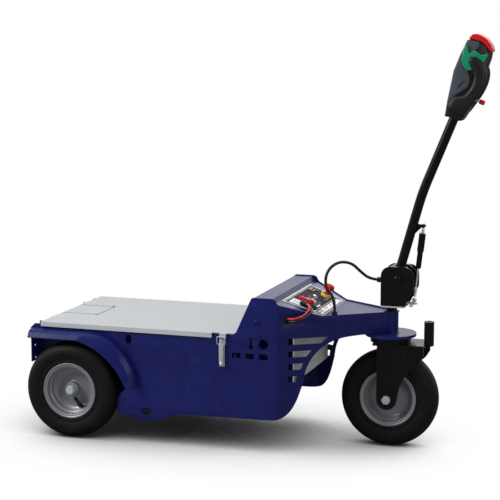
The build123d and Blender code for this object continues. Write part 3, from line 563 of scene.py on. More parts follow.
class Shape:
    """One piece while it is modelled, in millimetres."""

    def __init__(self, name: str) -> None:
        """Start an empty piece."""
        self.name = name
        self.mesh = bmesh.new()

    def _place(self, verts: Iterable[bmesh.types.BMVert], at: Matrix) -> None:
        """Move some new vertices to their placing."""
        bmesh.ops.transform(self.mesh, matrix=at, verts=list(verts))

    def _raise(self, faces: Sequence[bmesh.types.BMFace], height: float) -> list[bmesh.types.BMVert]:
        """Extrude faces along the placing's Z.

        Args:
            faces: the flat faces.
            height: how far they rise.

        Returns:
            The raised vertices.
        """
        grown = bmesh.ops.extrude_face_region(self.mesh, geom=faces)["geom"]
        raised = [item for item in grown if isinstance(item, bmesh.types.BMVert)]
        bmesh.ops.translate(self.mesh, verts=raised, vec=(0.0, 0.0, height))
        return raised

    def spun(self, profile: Sequence[tuple[float, float]], at: Matrix, closed: bool = False,
             steps: int = 64) -> None:
        """Turn a profile round the placing's own Z.

        Args:
            profile: radius and height of each point.
            at: the placing.
            closed: whether the last point joins the first.
            steps: the number of segments round.
        """
        line = [self.mesh.verts.new((radius, 0.0, height)) for radius, height in profile]
        pairs = list(zip(line, line[1:])) + ([(line[-1], line[0])] if closed else [])
        edges = [self.mesh.edges.new(pair) for pair in pairs]
        before = set(self.mesh.verts) - set(line)
        bmesh.ops.spin(
            self.mesh, geom=line + edges, cent=(0, 0, 0), axis=(0, 0, 1), angle=math.tau, steps=steps,
            use_merge=True
        )
        self._place([vert for vert in self.mesh.verts if vert not in before], at)

    def slab(self, outline: Sequence[tuple[float, float]], low: float, high: float, at: Matrix) -> None:
        """Raise a flat outline between two heights of the placing.

        Args:
            outline: its corners on the placing's own X and Y.
            low: the lower face.
            high: the upper face.
            at: the placing.
        """
        corners = [self.mesh.verts.new((u, v, low)) for u, v in outline]
        raised = self._raise([self.mesh.faces.new(corners)], high - low)
        self._place(corners + raised, at)

    def border(self, outline: Sequence[tuple[float, float]], width: float, low: float, high: float,
               at: Matrix) -> None:
        """A raised band inside a flat outline.

        Args:
            outline: its outer corners.
            width: how broad the band is.
            low: the lower face.
            high: the upper face.
            at: the placing.
        """
        corners = [self.mesh.verts.new((u, v, low)) for u, v in outline]
        face = self.mesh.faces.new(corners)
        face.normal_update()
        ring = bmesh.ops.inset_region(self.mesh, faces=[face], thickness=width, use_even_offset=True,
                                       use_boundary=True)["faces"]
        bmesh.ops.delete(self.mesh, geom=[face], context="FACES_ONLY")
        raised = self._raise(ring, high - low)
        flat = {vert for item in ring if item.is_valid for vert in item.verts}
        self._place(flat | set(corners) | set(raised), at)

    def block(self, size: Point, at: Matrix, round_over: float = 0.0, segments: int = 3) -> None:
        """A box with its lower face on the placing, all its edges rounded.

        Args:
            size: its three sides.
            at: the placing.
            round_over: how far its edges are rounded, or none.
            segments: how finely they are rounded.
        """
        made = bmesh.ops.create_cube(self.mesh, size=1.0)["verts"]
        bmesh.ops.scale(self.mesh, verts=made, vec=size)
        bmesh.ops.translate(self.mesh, verts=made, vec=(0.0, 0.0, size[2] / 2))
        bmesh.ops.transform(self.mesh, matrix=at, verts=made)
        if round_over:
            edges = list({edge for vert in made for edge in vert.link_edges})
            self._bevel(edges, round_over, segments)

    def _bevel(self, edges: list[bmesh.types.BMEdge], width: float, segments: int) -> None:
        """Round some edges."""
        bmesh.ops.bevel(
            self.mesh, geom=edges, offset=width, segments=segments, affect="EDGES", profile=0.5, material=-1,
            clamp_overlap=True,
        )

    def round_over(self, width: float, segments: int = 3, angle: float = 35.0) -> None:
        """Round every edge so far that is sharper than an angle.

        Args:
            width: how far.
            segments: how finely.
            angle: the least angle between its faces, in degrees.
        """
        bmesh.ops.remove_doubles(self.mesh, verts=self.mesh.verts, dist=0.001)
        bmesh.ops.recalc_face_normals(self.mesh, faces=self.mesh.faces)
        sharp = [edge for edge in self.mesh.edges if edge.calc_face_angle(0.0) > math.radians(angle)]
        self._bevel(sharp, width, segments)

    def trim(self, at: Point, outwards: Point) -> None:
        """Cut away what lies beyond a plane and close the cut.

        Args:
            at: a point on the plane.
            outwards: its direction, towards what goes.
        """
        cut = bmesh.ops.bisect_plane(
            self.mesh, geom=self.mesh.verts[:] + self.mesh.edges[:] + self.mesh.faces[:], plane_co=at,
            plane_no=outwards, clear_outer=True,
        )["geom_cut"]
        bmesh.ops.edgeloop_fill(self.mesh,
                                edges=[item for item in cut if isinstance(item, bmesh.types.BMEdge)])

    def mesh_in(self, data: bpy.types.Mesh) -> None:
        """Take in a mesh made from a curve, then drop it."""
        self.mesh.from_mesh(data)
        bpy.data.meshes.remove(data)

    def tube(self, points: Sequence[Point], radii: Sequence[float], order: int = 4, rings: int = 6) -> None:
        """A round tube of varying radius along a smooth curve.

        Args:
            points: the curve's control points.
            radii: the radius at each point.
            order: the curve's order.
            rings: how finely its section is divided.
        """
        line = smooth_line(self.name, points, order)
        line.bevel_depth = 1.0
        line.bevel_resolution = rings
        line.use_fill_caps = True
        for control, radius in zip(line.splines[0].points, radii):
            control.radius = radius
        holder = bpy.data.objects.new(self.name, line)
        self.mesh_in(bpy.data.meshes.new_from_object(holder))
        bpy.data.objects.remove(holder)

    def moulded(
        self, outline: Sequence[tuple[float, float]], low: float, high: float, edge: float, at: Matrix,
    ) -> None:
        """A moulding with a flowing outline and rounded edges.

        Args:
            outline: control points of its outline on the placing's own X and Y.
            low: its lower face.
            high: its upper face.
            edge: how far its edges are rounded.
            at: the placing.
        """
        line = smooth_line(self.name, [(u, v, 0.0) for u, v in outline], 3)
        line.dimensions = "2D"
        line.fill_mode = "BOTH"
        line.splines[0].use_cyclic_u = True
        line.splines[0].use_endpoint_u = False
        line.resolution_u = 6
        line.extrude = (high - low) / 2 - edge
        line.bevel_depth = edge
        line.bevel_resolution = 2
        line.offset = -edge
        holder = bpy.data.objects.new(self.name, line)
        data = bpy.data.meshes.new_from_object(holder)
        bpy.data.objects.remove(holder)
        data.transform(at @ Matrix.Translation((0.0, 0.0, (low + high) / 2)))
        self.mesh_in(data)

    def bolt(self, at: Matrix, across_flats: float, height: float, washer: float = 0.0) -> None:
        """A hexagon head with chamfered corners, on a washer where it has one.

        Args:
            at: its seat.
            across_flats: the spanner size.
            height: the head's height.
            washer: the washer's radius, or none.
        """
        lift = 0.0
        if washer:
            lift = 1.6
            self.spun([(0.0, 0.0), (washer, 0.0), (washer, 1.2), (washer - 0.4, 1.6), (0.0, 1.6)], at,
                      steps=36)
        radius = across_flats / math.sqrt(3.0)
        head = bmesh.ops.create_cone(
            self.mesh, cap_ends=True, segments=6, radius1=radius, radius2=radius, depth=height
        )["verts"]
        bmesh.ops.transform(self.mesh, matrix=at @ Matrix.Translation((0, 0, lift + height / 2)), verts=head)
        self.spun(
            [(0.0, height + 0.5), (across_flats * 0.40, height + 0.5), (across_flats * 0.46, height - 0.2),
             (0.0, height - 0.2)],
            at @ Matrix.Translation((0, 0, lift)), steps=24,
        )

    def button(self, at: Matrix, radius: float, height: float) -> None:
        """A domed screw head with a socket in it."""
        self.spun(
            [(0.0, height * 0.35), (radius * 0.34, height * 0.35), (radius * 0.36, height),
             (radius * 0.62, height * 0.93), (radius * 0.88, height * 0.6), (radius, height * 0.12),
             (radius, 0.0), (0.0, 0.0)],
            at, steps=24,
        )

    def finish(
        self, body: str, slot: str, finish: Finish, replaces: Sequence[str] = (), crease: float = 30.0,
    ) -> None:
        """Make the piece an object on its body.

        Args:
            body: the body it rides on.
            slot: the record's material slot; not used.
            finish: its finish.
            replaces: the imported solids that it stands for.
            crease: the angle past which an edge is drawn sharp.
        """
        bmesh.ops.remove_doubles(self.mesh, verts=self.mesh.verts, dist=0.0005)
        bmesh.ops.recalc_face_normals(self.mesh, faces=self.mesh.faces)
        for face in self.mesh.faces:
            face.smooth = True
        for edge in self.mesh.edges:
            edge.smooth = edge.calc_face_angle(0.0) < math.radians(crease)
        bmesh.ops.scale(self.mesh, verts=self.mesh.verts, vec=(MM, MM, MM))
        data = bpy.data.meshes.new(self.name)
        self.mesh.to_mesh(data)
        self.mesh.free()
        data.materials.append(finish.material())
        piece = bpy.data.objects.new(self.name, data)
        bpy.context.collection.objects.link(piece)
        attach(piece, body)
        if replaces:
            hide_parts(*replaces)
        log.info("%s: %d faces on %s", self.name, len(data.polygons), body)


def smooth_line(name: str, points: Sequence[Point], order: int) -> bpy.types.Curve:
    """A NURBS curve through the neighbourhood of its control points.

    Args:
        name: the curve's name.
        points: its control points.
        order: its order.

    Returns:
        The curve's data.
    """
    line = bpy.data.curves.new(name, "CURVE")
    line.dimensions = "3D"
    line.resolution_u = 12
    spline = line.splines.new("NURBS")
    spline.points.add(len(points) - 1)
    for control, point in zip(spline.points, points):
        control.co = (*point, 1.0)
    spline.order_u = order
    spline.use_endpoint_u = True
    return line


@dataclass
class Cord:
    """A cable or lead on one smooth curve between its two ends."""

    name: str
    node: str
    radius: float
    length: float
    route: list[Point]
    finish: Finish
    slot: str
    crossing: bool = False

    def build(self) -> None:
        data = smooth_line(self.name, self.route, 3)
        data.bevel_depth = self.radius
        data.bevel_resolution = 6
        flat = bpy.data.objects.new(self.name + "_line", data)
        mesh = bpy.data.meshes.new_from_object(flat)
        bpy.data.objects.remove(flat)
        for face in mesh.polygons:
            face.use_smooth = True
        piece = bpy.data.objects.new(self.name, mesh)
        mesh.materials.append(self.finish.material())
        bpy.context.collection.objects.link(piece)
        data.bevel_depth = 0.0
        line = bpy.data.objects.new(self.name + "_line", data)
        path = [vertex.co.copy() for vertex in bpy.data.meshes.new_from_object(line).vertices]
        bpy.data.objects.remove(line)
        if self.crossing:
            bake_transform(piece)
        else:
            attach(piece, "chassis")
        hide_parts(self.node)
        log.info("%s laid", self.name)


REAR_AXLE = REAR_X * MM
CORDS = (
    Cord("control_cable_jacket", "control_cable", 6 * MM, 0.420, [
        (REAR_AXLE + 1.084, -0.148, 0.566),
        (REAR_AXLE + 1.084, -0.148, 0.620),
        (REAR_AXLE + 1.045, -0.154, 0.664),
        (REAR_AXLE + 1.048, -0.145, 0.726),
        (REAR_AXLE + 1.088, -0.122, 0.764),
        (REAR_AXLE + 1.137, -0.090, 0.757),
        (REAR_AXLE + 1.166, -0.058, 0.718),
        (REAR_AXLE + 1.198, -0.040, 0.688),
        (REAR_AXLE + 1.232, -0.040, 0.686),
    ], CABLE_RUBBER, "black_rubber", crossing=True),
    Cord("red_lead_jacket", "red_lead", 4 * MM, 0.207, [
        (0.172, -0.266, 0.548),
        (0.208, -0.288, 0.550),
        (0.250, -0.280, 0.560),
        (0.268, -0.242, 0.580),
        (0.258, -0.198, 0.592),
        (0.236, -0.172, 0.596),
    ], LEAD_RED, "red_rubber"),
    Cord("black_lead_jacket", "black_lead", 4 * MM, 0.213, [
        (0.172, -0.266, 0.537),
        (0.208, -0.288, 0.539),
        (0.254, -0.284, 0.552),
        (0.278, -0.246, 0.570),
        (0.272, -0.202, 0.582),
        (0.252, -0.174, 0.586),
    ], LEAD_BLACK, "black_rubber"),
)


@dataclass
class SidePlate:
    """A side of the body in one folded sheet, with its arch, lobe, louvres and holes."""

    side: Side
    name: str
    half: float = 302.0
    sheet: float = 4.0
    fold_x: float = 153.5
    neck_slope: float = 0.6854
    outline: tuple[tuple[float, float, bool], ...] = (
        (-919.5, 452, False), (-899.5, 470, False), (-114.5, 470, False), (-108.5, 476, False),
        (-91.5, 476, False), (-91.5, 470, False), (-48.5, 470, False), (-48.5, 476, False),
        (-24.0, 476, False), (-20.0, 480, False), (46.5, 627, False), (54.0, 631, False),
        (134.0, 631, False), (146.0, 625, True), (153.5, 612, True), (160.0, 606, False),
        (308.5, 554, False), (544.5, 556, False), (544.5, 466, False), (423.5, 466, True),
        (352.0, 451, True), (297.0, 414, True), (258.0, 352, True), (244.0, 290, True), (233.0, 250, True),
        (220.0, 212, True), (202.0, 177, True), (178.0, 152, True), (152.0, 141, True), (126.0, 138, True),
        (96.0, 137, False), (-214.0, 132, True), (-272.0, 129, True), (-318.0, 112, True),
        (-360.0, 101, True), (-404.0, 98, True), (-452.0, 100, True), (-500.0, 109, True),
        (-530.0, 120, True), (-535.0, 150, True), (-527.0, 188, True), (-500.0, 214, True),
        (-460.0, 232, True), (-443.0, 262, True), (-456.0, 315, True), (-504.5, 387, True),
        (-576.0, 435, True), (-661.5, 452, False),
    )

    @staticmethod
    def rounded(x: float, z: float, width: float, height: float,
                corner: float) -> list[tuple[float, float, bool]]:
        """A hole with round corners, or round all over.

        Args:
            x: its middle along the machine.
            z: its middle's height.
            width: its width.
            height: its height.
            corner: how far each corner is cut.

        Returns:
            Its outline points, all smooth.
        """
        half_w, half_h = width / 2, height / 2
        return [
            (x + u, z + v, True) for u, v in (
                (half_w, half_h - corner), (half_w - corner, half_h), (corner - half_w, half_h),
                (-half_w, half_h - corner), (-half_w, corner - half_h), (corner - half_w, -half_h),
                (half_w - corner, -half_h), (half_w, corner - half_h),
            )
        ]

    def holes(self) -> list[list[tuple[float, float, bool]]]:
        """Cut-outs of the plate.

        Returns:
            Every hole's outline.
        """
        found = [
            self.rounded(-480.5, 429, 24, 37, 9), self.rounded(-404.0, 132, 44, 26, 10),
            self.rounded(97.5, 445, 36, 38, 12), self.rounded(189.5, 543.5, 19.8, 24, 7),
            [(41, 470, False), (50, 470, False), (50, 441, False), (55.5, 434, True), (51, 424, True),
             (45.5, 422, True), (40, 424, True), (35.5, 434, True), (41, 441, False)],
        ]
        for x in (-15.5, 40.5, 97.5):
            found.append([(x - 18, 382, False), (x + 18, 382, False), (x + 18, 404, False),
                          (x - 18, 404, False)])
        for z, front, slant in ((456, 317.5, 27), (405, 263.5, 18), (354, 239.5, 9), (304, 219.5, 4)):
            found.append([(192.5, z - 12.5, False), (front - slant / 2, z - 12.5, False),
                          (front + slant / 2, z + 12.5, False), (192.5, z + 12.5, False)])
        return found

    def build(self) -> None:
        """Cut, fold and fit the plate."""
        line = bpy.data.curves.new(self.name, "CURVE")
        line.dimensions = "2D"
        line.fill_mode = "BOTH"
        line.resolution_u = 8
        line.extrude = self.sheet / 2 - 0.4
        line.bevel_depth = 0.4
        line.bevel_resolution = 1
        line.offset = -0.4
        for outline in [list(self.outline)] + self.holes():
            spline = line.splines.new("BEZIER")
            spline.bezier_points.add(len(outline) - 1)
            spline.use_cyclic_u = True
            for point, (x, z, smooth) in zip(spline.bezier_points, outline):
                point.co = (x, z, 0.0)
                point.handle_left_type = point.handle_right_type = "AUTO" if smooth else "VECTOR"
        holder = bpy.data.objects.new(self.name, line)
        data = bpy.data.meshes.new_from_object(holder)
        bpy.data.objects.remove(holder)
        data.transform(side_on(0.0, self.side.value * (self.half - self.sheet / 2), 0.0, self.side))
        shape = Shape("body_side_" + self.name)
        shape.mesh_in(data)
        mesh = shape.mesh
        bmesh.ops.remove_doubles(mesh, verts=mesh.verts, dist=0.001)
        bmesh.ops.bisect_plane(
            mesh, geom=mesh.verts[:] + mesh.edges[:] + mesh.faces[:], plane_co=(self.fold_x, 0, 0),
            plane_no=(1, 0, 0)
        )
        fold = Matrix.Identity(4)
        fold[1][0] = -self.side.value * self.neck_slope
        fold[1][3] = self.side.value * self.neck_slope * self.fold_x
        bmesh.ops.transform(mesh, matrix=fold,
                            verts=[vert for vert in mesh.verts if vert.co.x > self.fold_x + 0.01])
        shape.finish("chassis", "blue_paint", BLUE, ["side_plate_" + self.name])
        # painted shade: a black sheet behind the lobe's hole, so the hole reads dark as if in shade instead
        # of showing the floor
        painted_shade_sheet = Shape("lobe_backing_" + self.name)
        painted_shade_sheet.block((64.0, 46.0, 2.0), side_on(-404.0, self.side.value * 295.5, 132.0, self.side), 0.6, 2)
        painted_shade_sheet.finish("chassis", "black_paint", BLACK_PLASTIC)


@dataclass
class Tub:
    """The battery tub and the batteries in it."""

    rear_x: float = -434.5
    front_x: float = -20.0
    floor_z: float = 138.0
    rim_z: float = 462.0
    half: float = 297.7
    sheet: float = 4.0

    def tray(self) -> None:
        """The bent sheet tray."""
        x0, x1, z0, z1, t = self.rear_x, self.front_x, self.floor_z, self.rim_z, self.sheet
        shape = Shape("tub_tray")
        shape.slab([(x0, z1), (x0, z0), (x1, z0), (x1, z1), (x1 - t, z1), (x1 - t, z0 + t), (x0 + t, z0 + t),
                    (x0 + t, z1)],
                   -self.half, self.half, side_on(0, 0, 0))
        shape.round_over(1.2, 2)
        shape.finish("chassis", "blue_paint", BLUE, ["tub_pan"])

    def batteries(self) -> None:
        """Six monobloc batteries with lids, terminals and links."""
        cases, tops, links = Shape("battery_cases"), Shape("battery_terminals"), Shape("battery_links")
        for row in range(2):
            for column in range(3):
                x, y = -311.0 + 182.0 * row, -178.0 + 178.0 * column
                cases.block((174.0, 170.0, 208.0), Matrix.Translation((x, y, 142.3)), 5.0, 3)
                cases.block((178.0, 174.0, 18.0), Matrix.Translation((x, y, 348.0)), 4.0, 3)
                for cap in range(3):
                    cases.spun([(0.0, 7.0), (9.0, 7.0), (10.0, 5.6), (10.0, 0.0), (0.0, 0.0)],
                               Matrix.Translation((x - 44.0 + 44.0 * cap, y, 366.0)), steps=24)
                for offset in (-60.0, 60.0):
                    tops.spun([(0.0, 12.0), (6.6, 12.0), (7.4, 10.0), (8.4, 0.0), (0.0, 0.0)],
                              Matrix.Translation((x + offset, y + 58.0, 366.0)), steps=24)
        for row in range(2):
            for column in range(2):
                x, y = -311.0 + 182.0 * row, -178.0 + 178.0 * column
                links.tube([(x + 60, y + 58, 372), (x + 66, y + 80, 384), (x + 40, y + 150, 384),
                            (x - 52, y + 214, 384), (x - 60, y + 236, 372)], [5.0] * 5, order=4, rings=3)
        cases.finish("chassis", "battery", BATTERY, ["battery_pack"])
        tops.finish("chassis", "zinc", ZINC)
        links.finish("chassis", "black_rubber", LEAD_BLACK)

    def build(self) -> None:
        """Build the tub."""
        self.tray()
        self.batteries()


@dataclass
class Wheel:
    """A pneumatic tyre on a rolled steel rim."""

    name: str
    body: str
    x: float
    y: float
    side: Side
    dish: float = -8.0
    hub: float = 30.0
    hub_in: float = -50.0
    hub_out: float = 20.0
    bore: float = 12.7
    radius: float = WHEEL_RADIUS
    flange: float = 117.0
    lip: float = 42.0
    barrel: float = 99.7
    well: float = 90.7

    def at(self) -> Matrix:
        """The wheel's middle, own Z outboard."""
        return side_on(self.x, self.y, self.radius, self.side)

    def tyre(self) -> None:
        """Ribbed tread, round shoulders, and rings on the sidewalls."""
        half = [
            (103.0, 37.5), (112.0, 38.3), (118.2, 38.9), (120.6, 41.0), (121.6, 43.6), (124.0, 45.0),
            (126.6, 45.1), (128.6, 43.9), (131.0, 43.9), (137.0, 46.6), (146.0, 49.6), (155.0, 51.4),
            (162.0, 51.9), (166.0, 51.7), (167.2, 50.9), (168.4, 51.3), (174.0, 49.6), (179.0, 47.0),
            (183.6, 43.4), (184.8, 41.4), (186.8, 40.6), (190.0, 37.0), (193.6, 32.0), (196.2, 27.6),
            (196.6, 26.6), (192.8, 26.0), (192.8, 23.6), (197.6, 23.0), (198.4, 20.0), (199.2, 16.0),
            (199.5, 12.2), (195.2, 11.7), (195.2, 9.3), (199.7, 8.8), (199.9, 4.0),
        ]
        shape = Shape(self.name + "_tyre")
        other = [(radius, -height) for radius, height in reversed(half)]
        shape.spun(half + other, self.at(), closed=True, steps=128)
        shape.finish(self.body, "tyre", TYRE, ["tyre_" + self.name], crease=38.0)

    def rim(self) -> None:
        """Rolled lips, stepped barrel, drop centre, dished disc and hub tube in one."""
        outer = [
            (self.flange - 4.0, self.lip + 2.2), (self.flange - 1.2, self.lip + 1.7), (self.flange, self.lip),
            (self.flange - 0.3, self.lip - 2.2), (self.flange - 2.5, self.lip - 3.1),
            (self.barrel + 4.0, self.lip - 3.2), (self.barrel + 3.0, self.lip - 5.0),
            (self.barrel + 3.0, 21.0), (self.barrel + 0.6, 18.6), (self.well + 4.6, 15.4),
            (self.well + 3.0, 13.0),
        ]
        inner = [
            (self.flange - 6.6, self.lip + 1.4), (self.flange - 8.6, self.lip - 0.4),
            (self.barrel + 3.4, self.lip - 1.2), (self.barrel + 1.2, self.lip - 2.4),
            (self.barrel, self.lip - 5.0), (self.barrel, 23.5), (self.barrel - 1.2, 21.2),
            (self.well + 2.0, 17.2), (self.well + 0.4, 15.6), (self.well, 13.4),
        ]
        skin = outer + [(r, -h) for r, h in reversed(outer)]
        back = [(r, -h) for r, h in inner] + [(r, h) for r, h in reversed(inner)]
        shape = Shape(self.name + "_rim")
        shape.spun(skin + back, self.at(), closed=True, steps=128)
        dish = self.dish
        shape.spun(
            [(self.well + 1.0, dish + 10.0), (self.well - 2.0, dish + 9.4), (self.well - 5.0, dish + 6.0),
             (self.well - 9.0, dish + 1.6), (self.well - 14.0, dish), (self.hub + 34.0, dish - 1.5),
             (self.hub + 31.0, dish - 0.4), (self.hub + 8.0, dish), (self.hub + 3.0, dish + 1.4),
             (self.hub - 1.0, dish + 4.6), (self.hub - 1.0, dish - 4.0), (self.hub + 31.0, dish - 4.4),
             (self.well - 14.0, dish - 4.0), (self.well - 6.0, dish - 1.0), (self.well + 1.0, dish + 5.0)],
            self.at(), closed=True, steps=96,
        )
        shape.spun(
            [(self.bore, self.hub_out - 1.0), (self.bore + 1.0, self.hub_out), (self.hub - 2.0, self.hub_out),
             (self.hub, self.hub_out - 2.0), (self.hub, self.hub_in + 2.0), (self.hub - 2.0, self.hub_in),
             (self.bore + 1.0, self.hub_in), (self.bore, self.hub_in + 1.0)],
            self.at(), closed=True, steps=72,
        )
        shape.finish(self.body, "silver_paint", SILVER, ["rim_" + self.name])

    def valve(self) -> None:
        """The rubber valve with its cap, leaning out of the drop centre."""
        shape = Shape(self.name + "_valve")
        lean = self.at() @ across((33.0, -60.0, 16.0), (-9.0, 40.0, 34.0))
        shape.spun(
            [(0.0, -14.0), (10.0, -14.0), (10.0, 0.0), (8.6, 4.0), (7.4, 7.0), (6.8, 24.0), (4.6, 25.0),
             (4.6, 29.0), (7.6, 30.0), (7.6, 46.0), (6.4, 48.6), (0.0, 49.4)],
            lean, steps=24,
        )
        shape.finish(self.body, "tyre", BLACK_PLASTIC)

    def build(self) -> None:
        """Build the wheel."""
        self.tyre()
        self.rim()
        if self.body != "wheel_front":
            self.valve()


@dataclass
class HubNut:
    """The nut, washer and thread end on a rear stub axle."""

    side: Side
    name: str
    y: float = 306.0

    def build(self) -> None:
        """Build the nut on the wheel's body."""
        seat = side_on(REAR_X, self.side.value * self.y, WHEEL_RADIUS, self.side)
        shape = Shape("hub_nut_" + self.name)
        shape.bolt(seat, 22.0, 10.0, washer=14.0)
        shape.spun([(0.0, 11.0), (5.4, 11.0), (5.4, 15.2), (4.4, 16.0), (0.0, 16.0)], seat, steps=32)
        shape.finish("wheel_rear_" + self.name, "zinc", BRIGHT_ZINC)


@dataclass
class Head:
    """The tiller's head: moulded shell, side covers, grips, throttle, reversing button and key."""

    half: float = 38.0
    nose_x: float = 936.5
    nose_half: float = 16.0

    def taper(self, shape: Shape, grow: float = 0.0) -> None:
        """Cut the nose's two slanted sides.

        Args:
            shape: the piece to cut.
            grow: how far the cut lies outside the head's own.
        """
        run = 52.0
        fall = self.half - self.nose_half
        for side in Side:
            at = (self.nose_x - run, side.value * (self.half + grow), 0.0)
            shape.trim(at, (fall, side.value * run, 0.0))

    def shell(self) -> None:
        """The dark core of the head."""
        outline = [(754, 1345), (762, 1400), (786, 1523), (812, 1588), (838, 1642), (850, 1644), (886, 1636),
                   (912, 1618), (932, 1594), (927, 1569), (913, 1530), (872, 1450), (846, 1390), (820, 1327),
                   (784, 1341)]
        shape = Shape("head_core")
        shape.slab(outline, -(self.half - 2.5), self.half - 2.5, side_on(0, 0, 0))
        self.taper(shape, -2.5)
        shape.round_over(4.0, 4)
        shape.finish("tiller", "grey_plastic", BLACK_PLASTIC, ["head_shell"])

    def covers(self) -> None:
        """The grey side covers, which stand a little proud of the core."""
        outline = [(755, 1348), (755, 1348), (760, 1378), (765, 1400), (772, 1437), (779, 1474), (785, 1502),
                   (791, 1529), (804, 1558), (818, 1587), (838, 1641), (842, 1643), (882, 1634), (886, 1631),
                   (883, 1612), (866, 1596), (848, 1580), (838, 1548), (838, 1526), (850, 1500), (849, 1476),
                   (844, 1460), (826, 1448), (808, 1436), (790, 1424), (776, 1404), (767, 1384), (764, 1350)]
        for side, name in ((Side.RIGHT, "right"), (Side.LEFT, "left")):
            shape = Shape("head_cover_" + name)
            shape.moulded(outline, self.half - 8.0, self.half, 2.2, side_on(0, 0, 0, side))
            shape.finish("tiller", "grey_plastic", HEAD_GREY)
            mark = Shape("cover_slot_" + name)
            tilt = Matrix.Rotation(math.radians(36.0), 4, "Z")
            mark.block((32.0, 4.2, 0.8), side_on(818, side.value * (self.half - 0.2), 1474, side) @ tilt,
                       0.3, 2)
            mark.block((24.0, 2.6, 0.8), side_on(811, side.value * (self.half - 0.2), 1462, side) @ tilt,
                       0.3, 2)
            mark.finish("tiller", "grey_plastic", BLACK_PLASTIC)

    def grips(self) -> None:
        """The cuff round the head's foot and the looped grips, in one flowing form each side."""
        outline = [(852, 1578), (846, 1562), (850, 1545), (862, 1528), (869, 1498), (861, 1467), (846, 1445),
                   (828, 1427), (806, 1424), (788, 1422), (776, 1404), (769, 1388), (771, 1374), (788, 1362),
                   (810, 1354), (836, 1352), (857, 1381), (888, 1424), (910, 1467), (918, 1506), (914, 1536),
                   (894, 1566), (870, 1580)]
        loops = Shape("grip_loops")
        for side in Side:
            loops.moulded(outline, self.half - 8.0, self.half + 21.0, 13.5, side_on(0, 0, 0, side))
        loops.finish("tiller", "black_rubber", GRIP_RUBBER, ["grips"], crease=50.0)
        cuff = Shape("grip_cuff")
        cuff.moulded([(764, 1347), (766, 1366), (776, 1390), (800, 1414), (846, 1430), (872, 1420),
                      (858, 1392), (836, 1352), (820, 1328), (806, 1329), (784, 1340)],
                     -(self.half + 2.0), self.half + 2.0, 4.0, side_on(0, 0, 0))
        cuff.finish("tiller", "black_rubber", BLACK_PLASTIC)

    def throttle(self) -> None:
        """The two thumb paddles and their hubs."""
        outline = [(835, 1622), (842, 1617), (843, 1602), (847, 1588), (856, 1596), (868, 1602), (880, 1596),
                   (892, 1585), (906, 1585), (921, 1592), (919, 1578), (908, 1560), (899, 1552), (884, 1545),
                   (872, 1534), (863, 1528), (850, 1523), (836, 1527), (823, 1542), (818, 1560), (821, 1588),
                   (828, 1614)]
        shape = Shape("throttle_paddles")
        hubs = Shape("throttle_hubs")
        for side in Side:
            shape.moulded(outline, self.half + 0.4, self.half + 9.0, 3.6, side_on(0, 0, 0, side))
            seat = side_on(868, 0, 1562, side)
            hubs.spun([(0.0, 40.0), (17.0, 40.0), (17.0, 54.0), (14.0, 57.0), (8.0, 58.4), (0.0, 58.8)],
                      seat, steps=48)
        shape.finish("tiller", "green_plastic", GREEN, ["throttle"], crease=50.0)
        hubs.finish("tiller", "black_rubber", GRIP_RUBBER)

    def reversing_button(self) -> None:
        """The red band over the head's end."""
        outline = [(842, 1646), (850, 1656), (858, 1664), (868, 1665), (880, 1663), (894, 1657), (906, 1650),
                   (917, 1640), (927, 1626), (933, 1612), (936, 1601), (933, 1594), (926, 1598), (919, 1609),
                   (911, 1619), (900, 1629), (888, 1638), (872, 1643), (856, 1643)]
        shape = Shape("reversing_band")
        shape.moulded(outline, -(self.half - 1.0), self.half - 1.0, 4.0, side_on(0, 0, 0))
        shape.finish("tiller", "red_plastic", RED, ["stop_button"], crease=50.0)

    def key(self) -> None:
        """The ignition key with its tag."""
        tag = Shape("key_tag")
        at = across((884, 0, 1404), (0.94, 0.0, -0.34))
        tag.block((13.0, 18.0, 22.0), at, 2.6, 3)
        tag.finish("tiller", "red_plastic", RED, ["key_toggle"])
        stem = Shape("key_stem")
        stem.spun([(0.0, -22.0), (3.0, -22.0), (3.0, 1.0), (0.0, 1.0)], at, steps=24)
        stem.spun([(0.0, -24.0), (8.0, -24.0), (8.0, -16.0), (6.6, -14.6), (0.0, -14.6)], at, steps=36)
        stem.finish("tiller", "zinc", ZINC)

    def build(self) -> None:
        """Build the head."""
        self.shell()
        self.covers()
        self.grips()
        self.throttle()
        self.reversing_button()
        self.key()


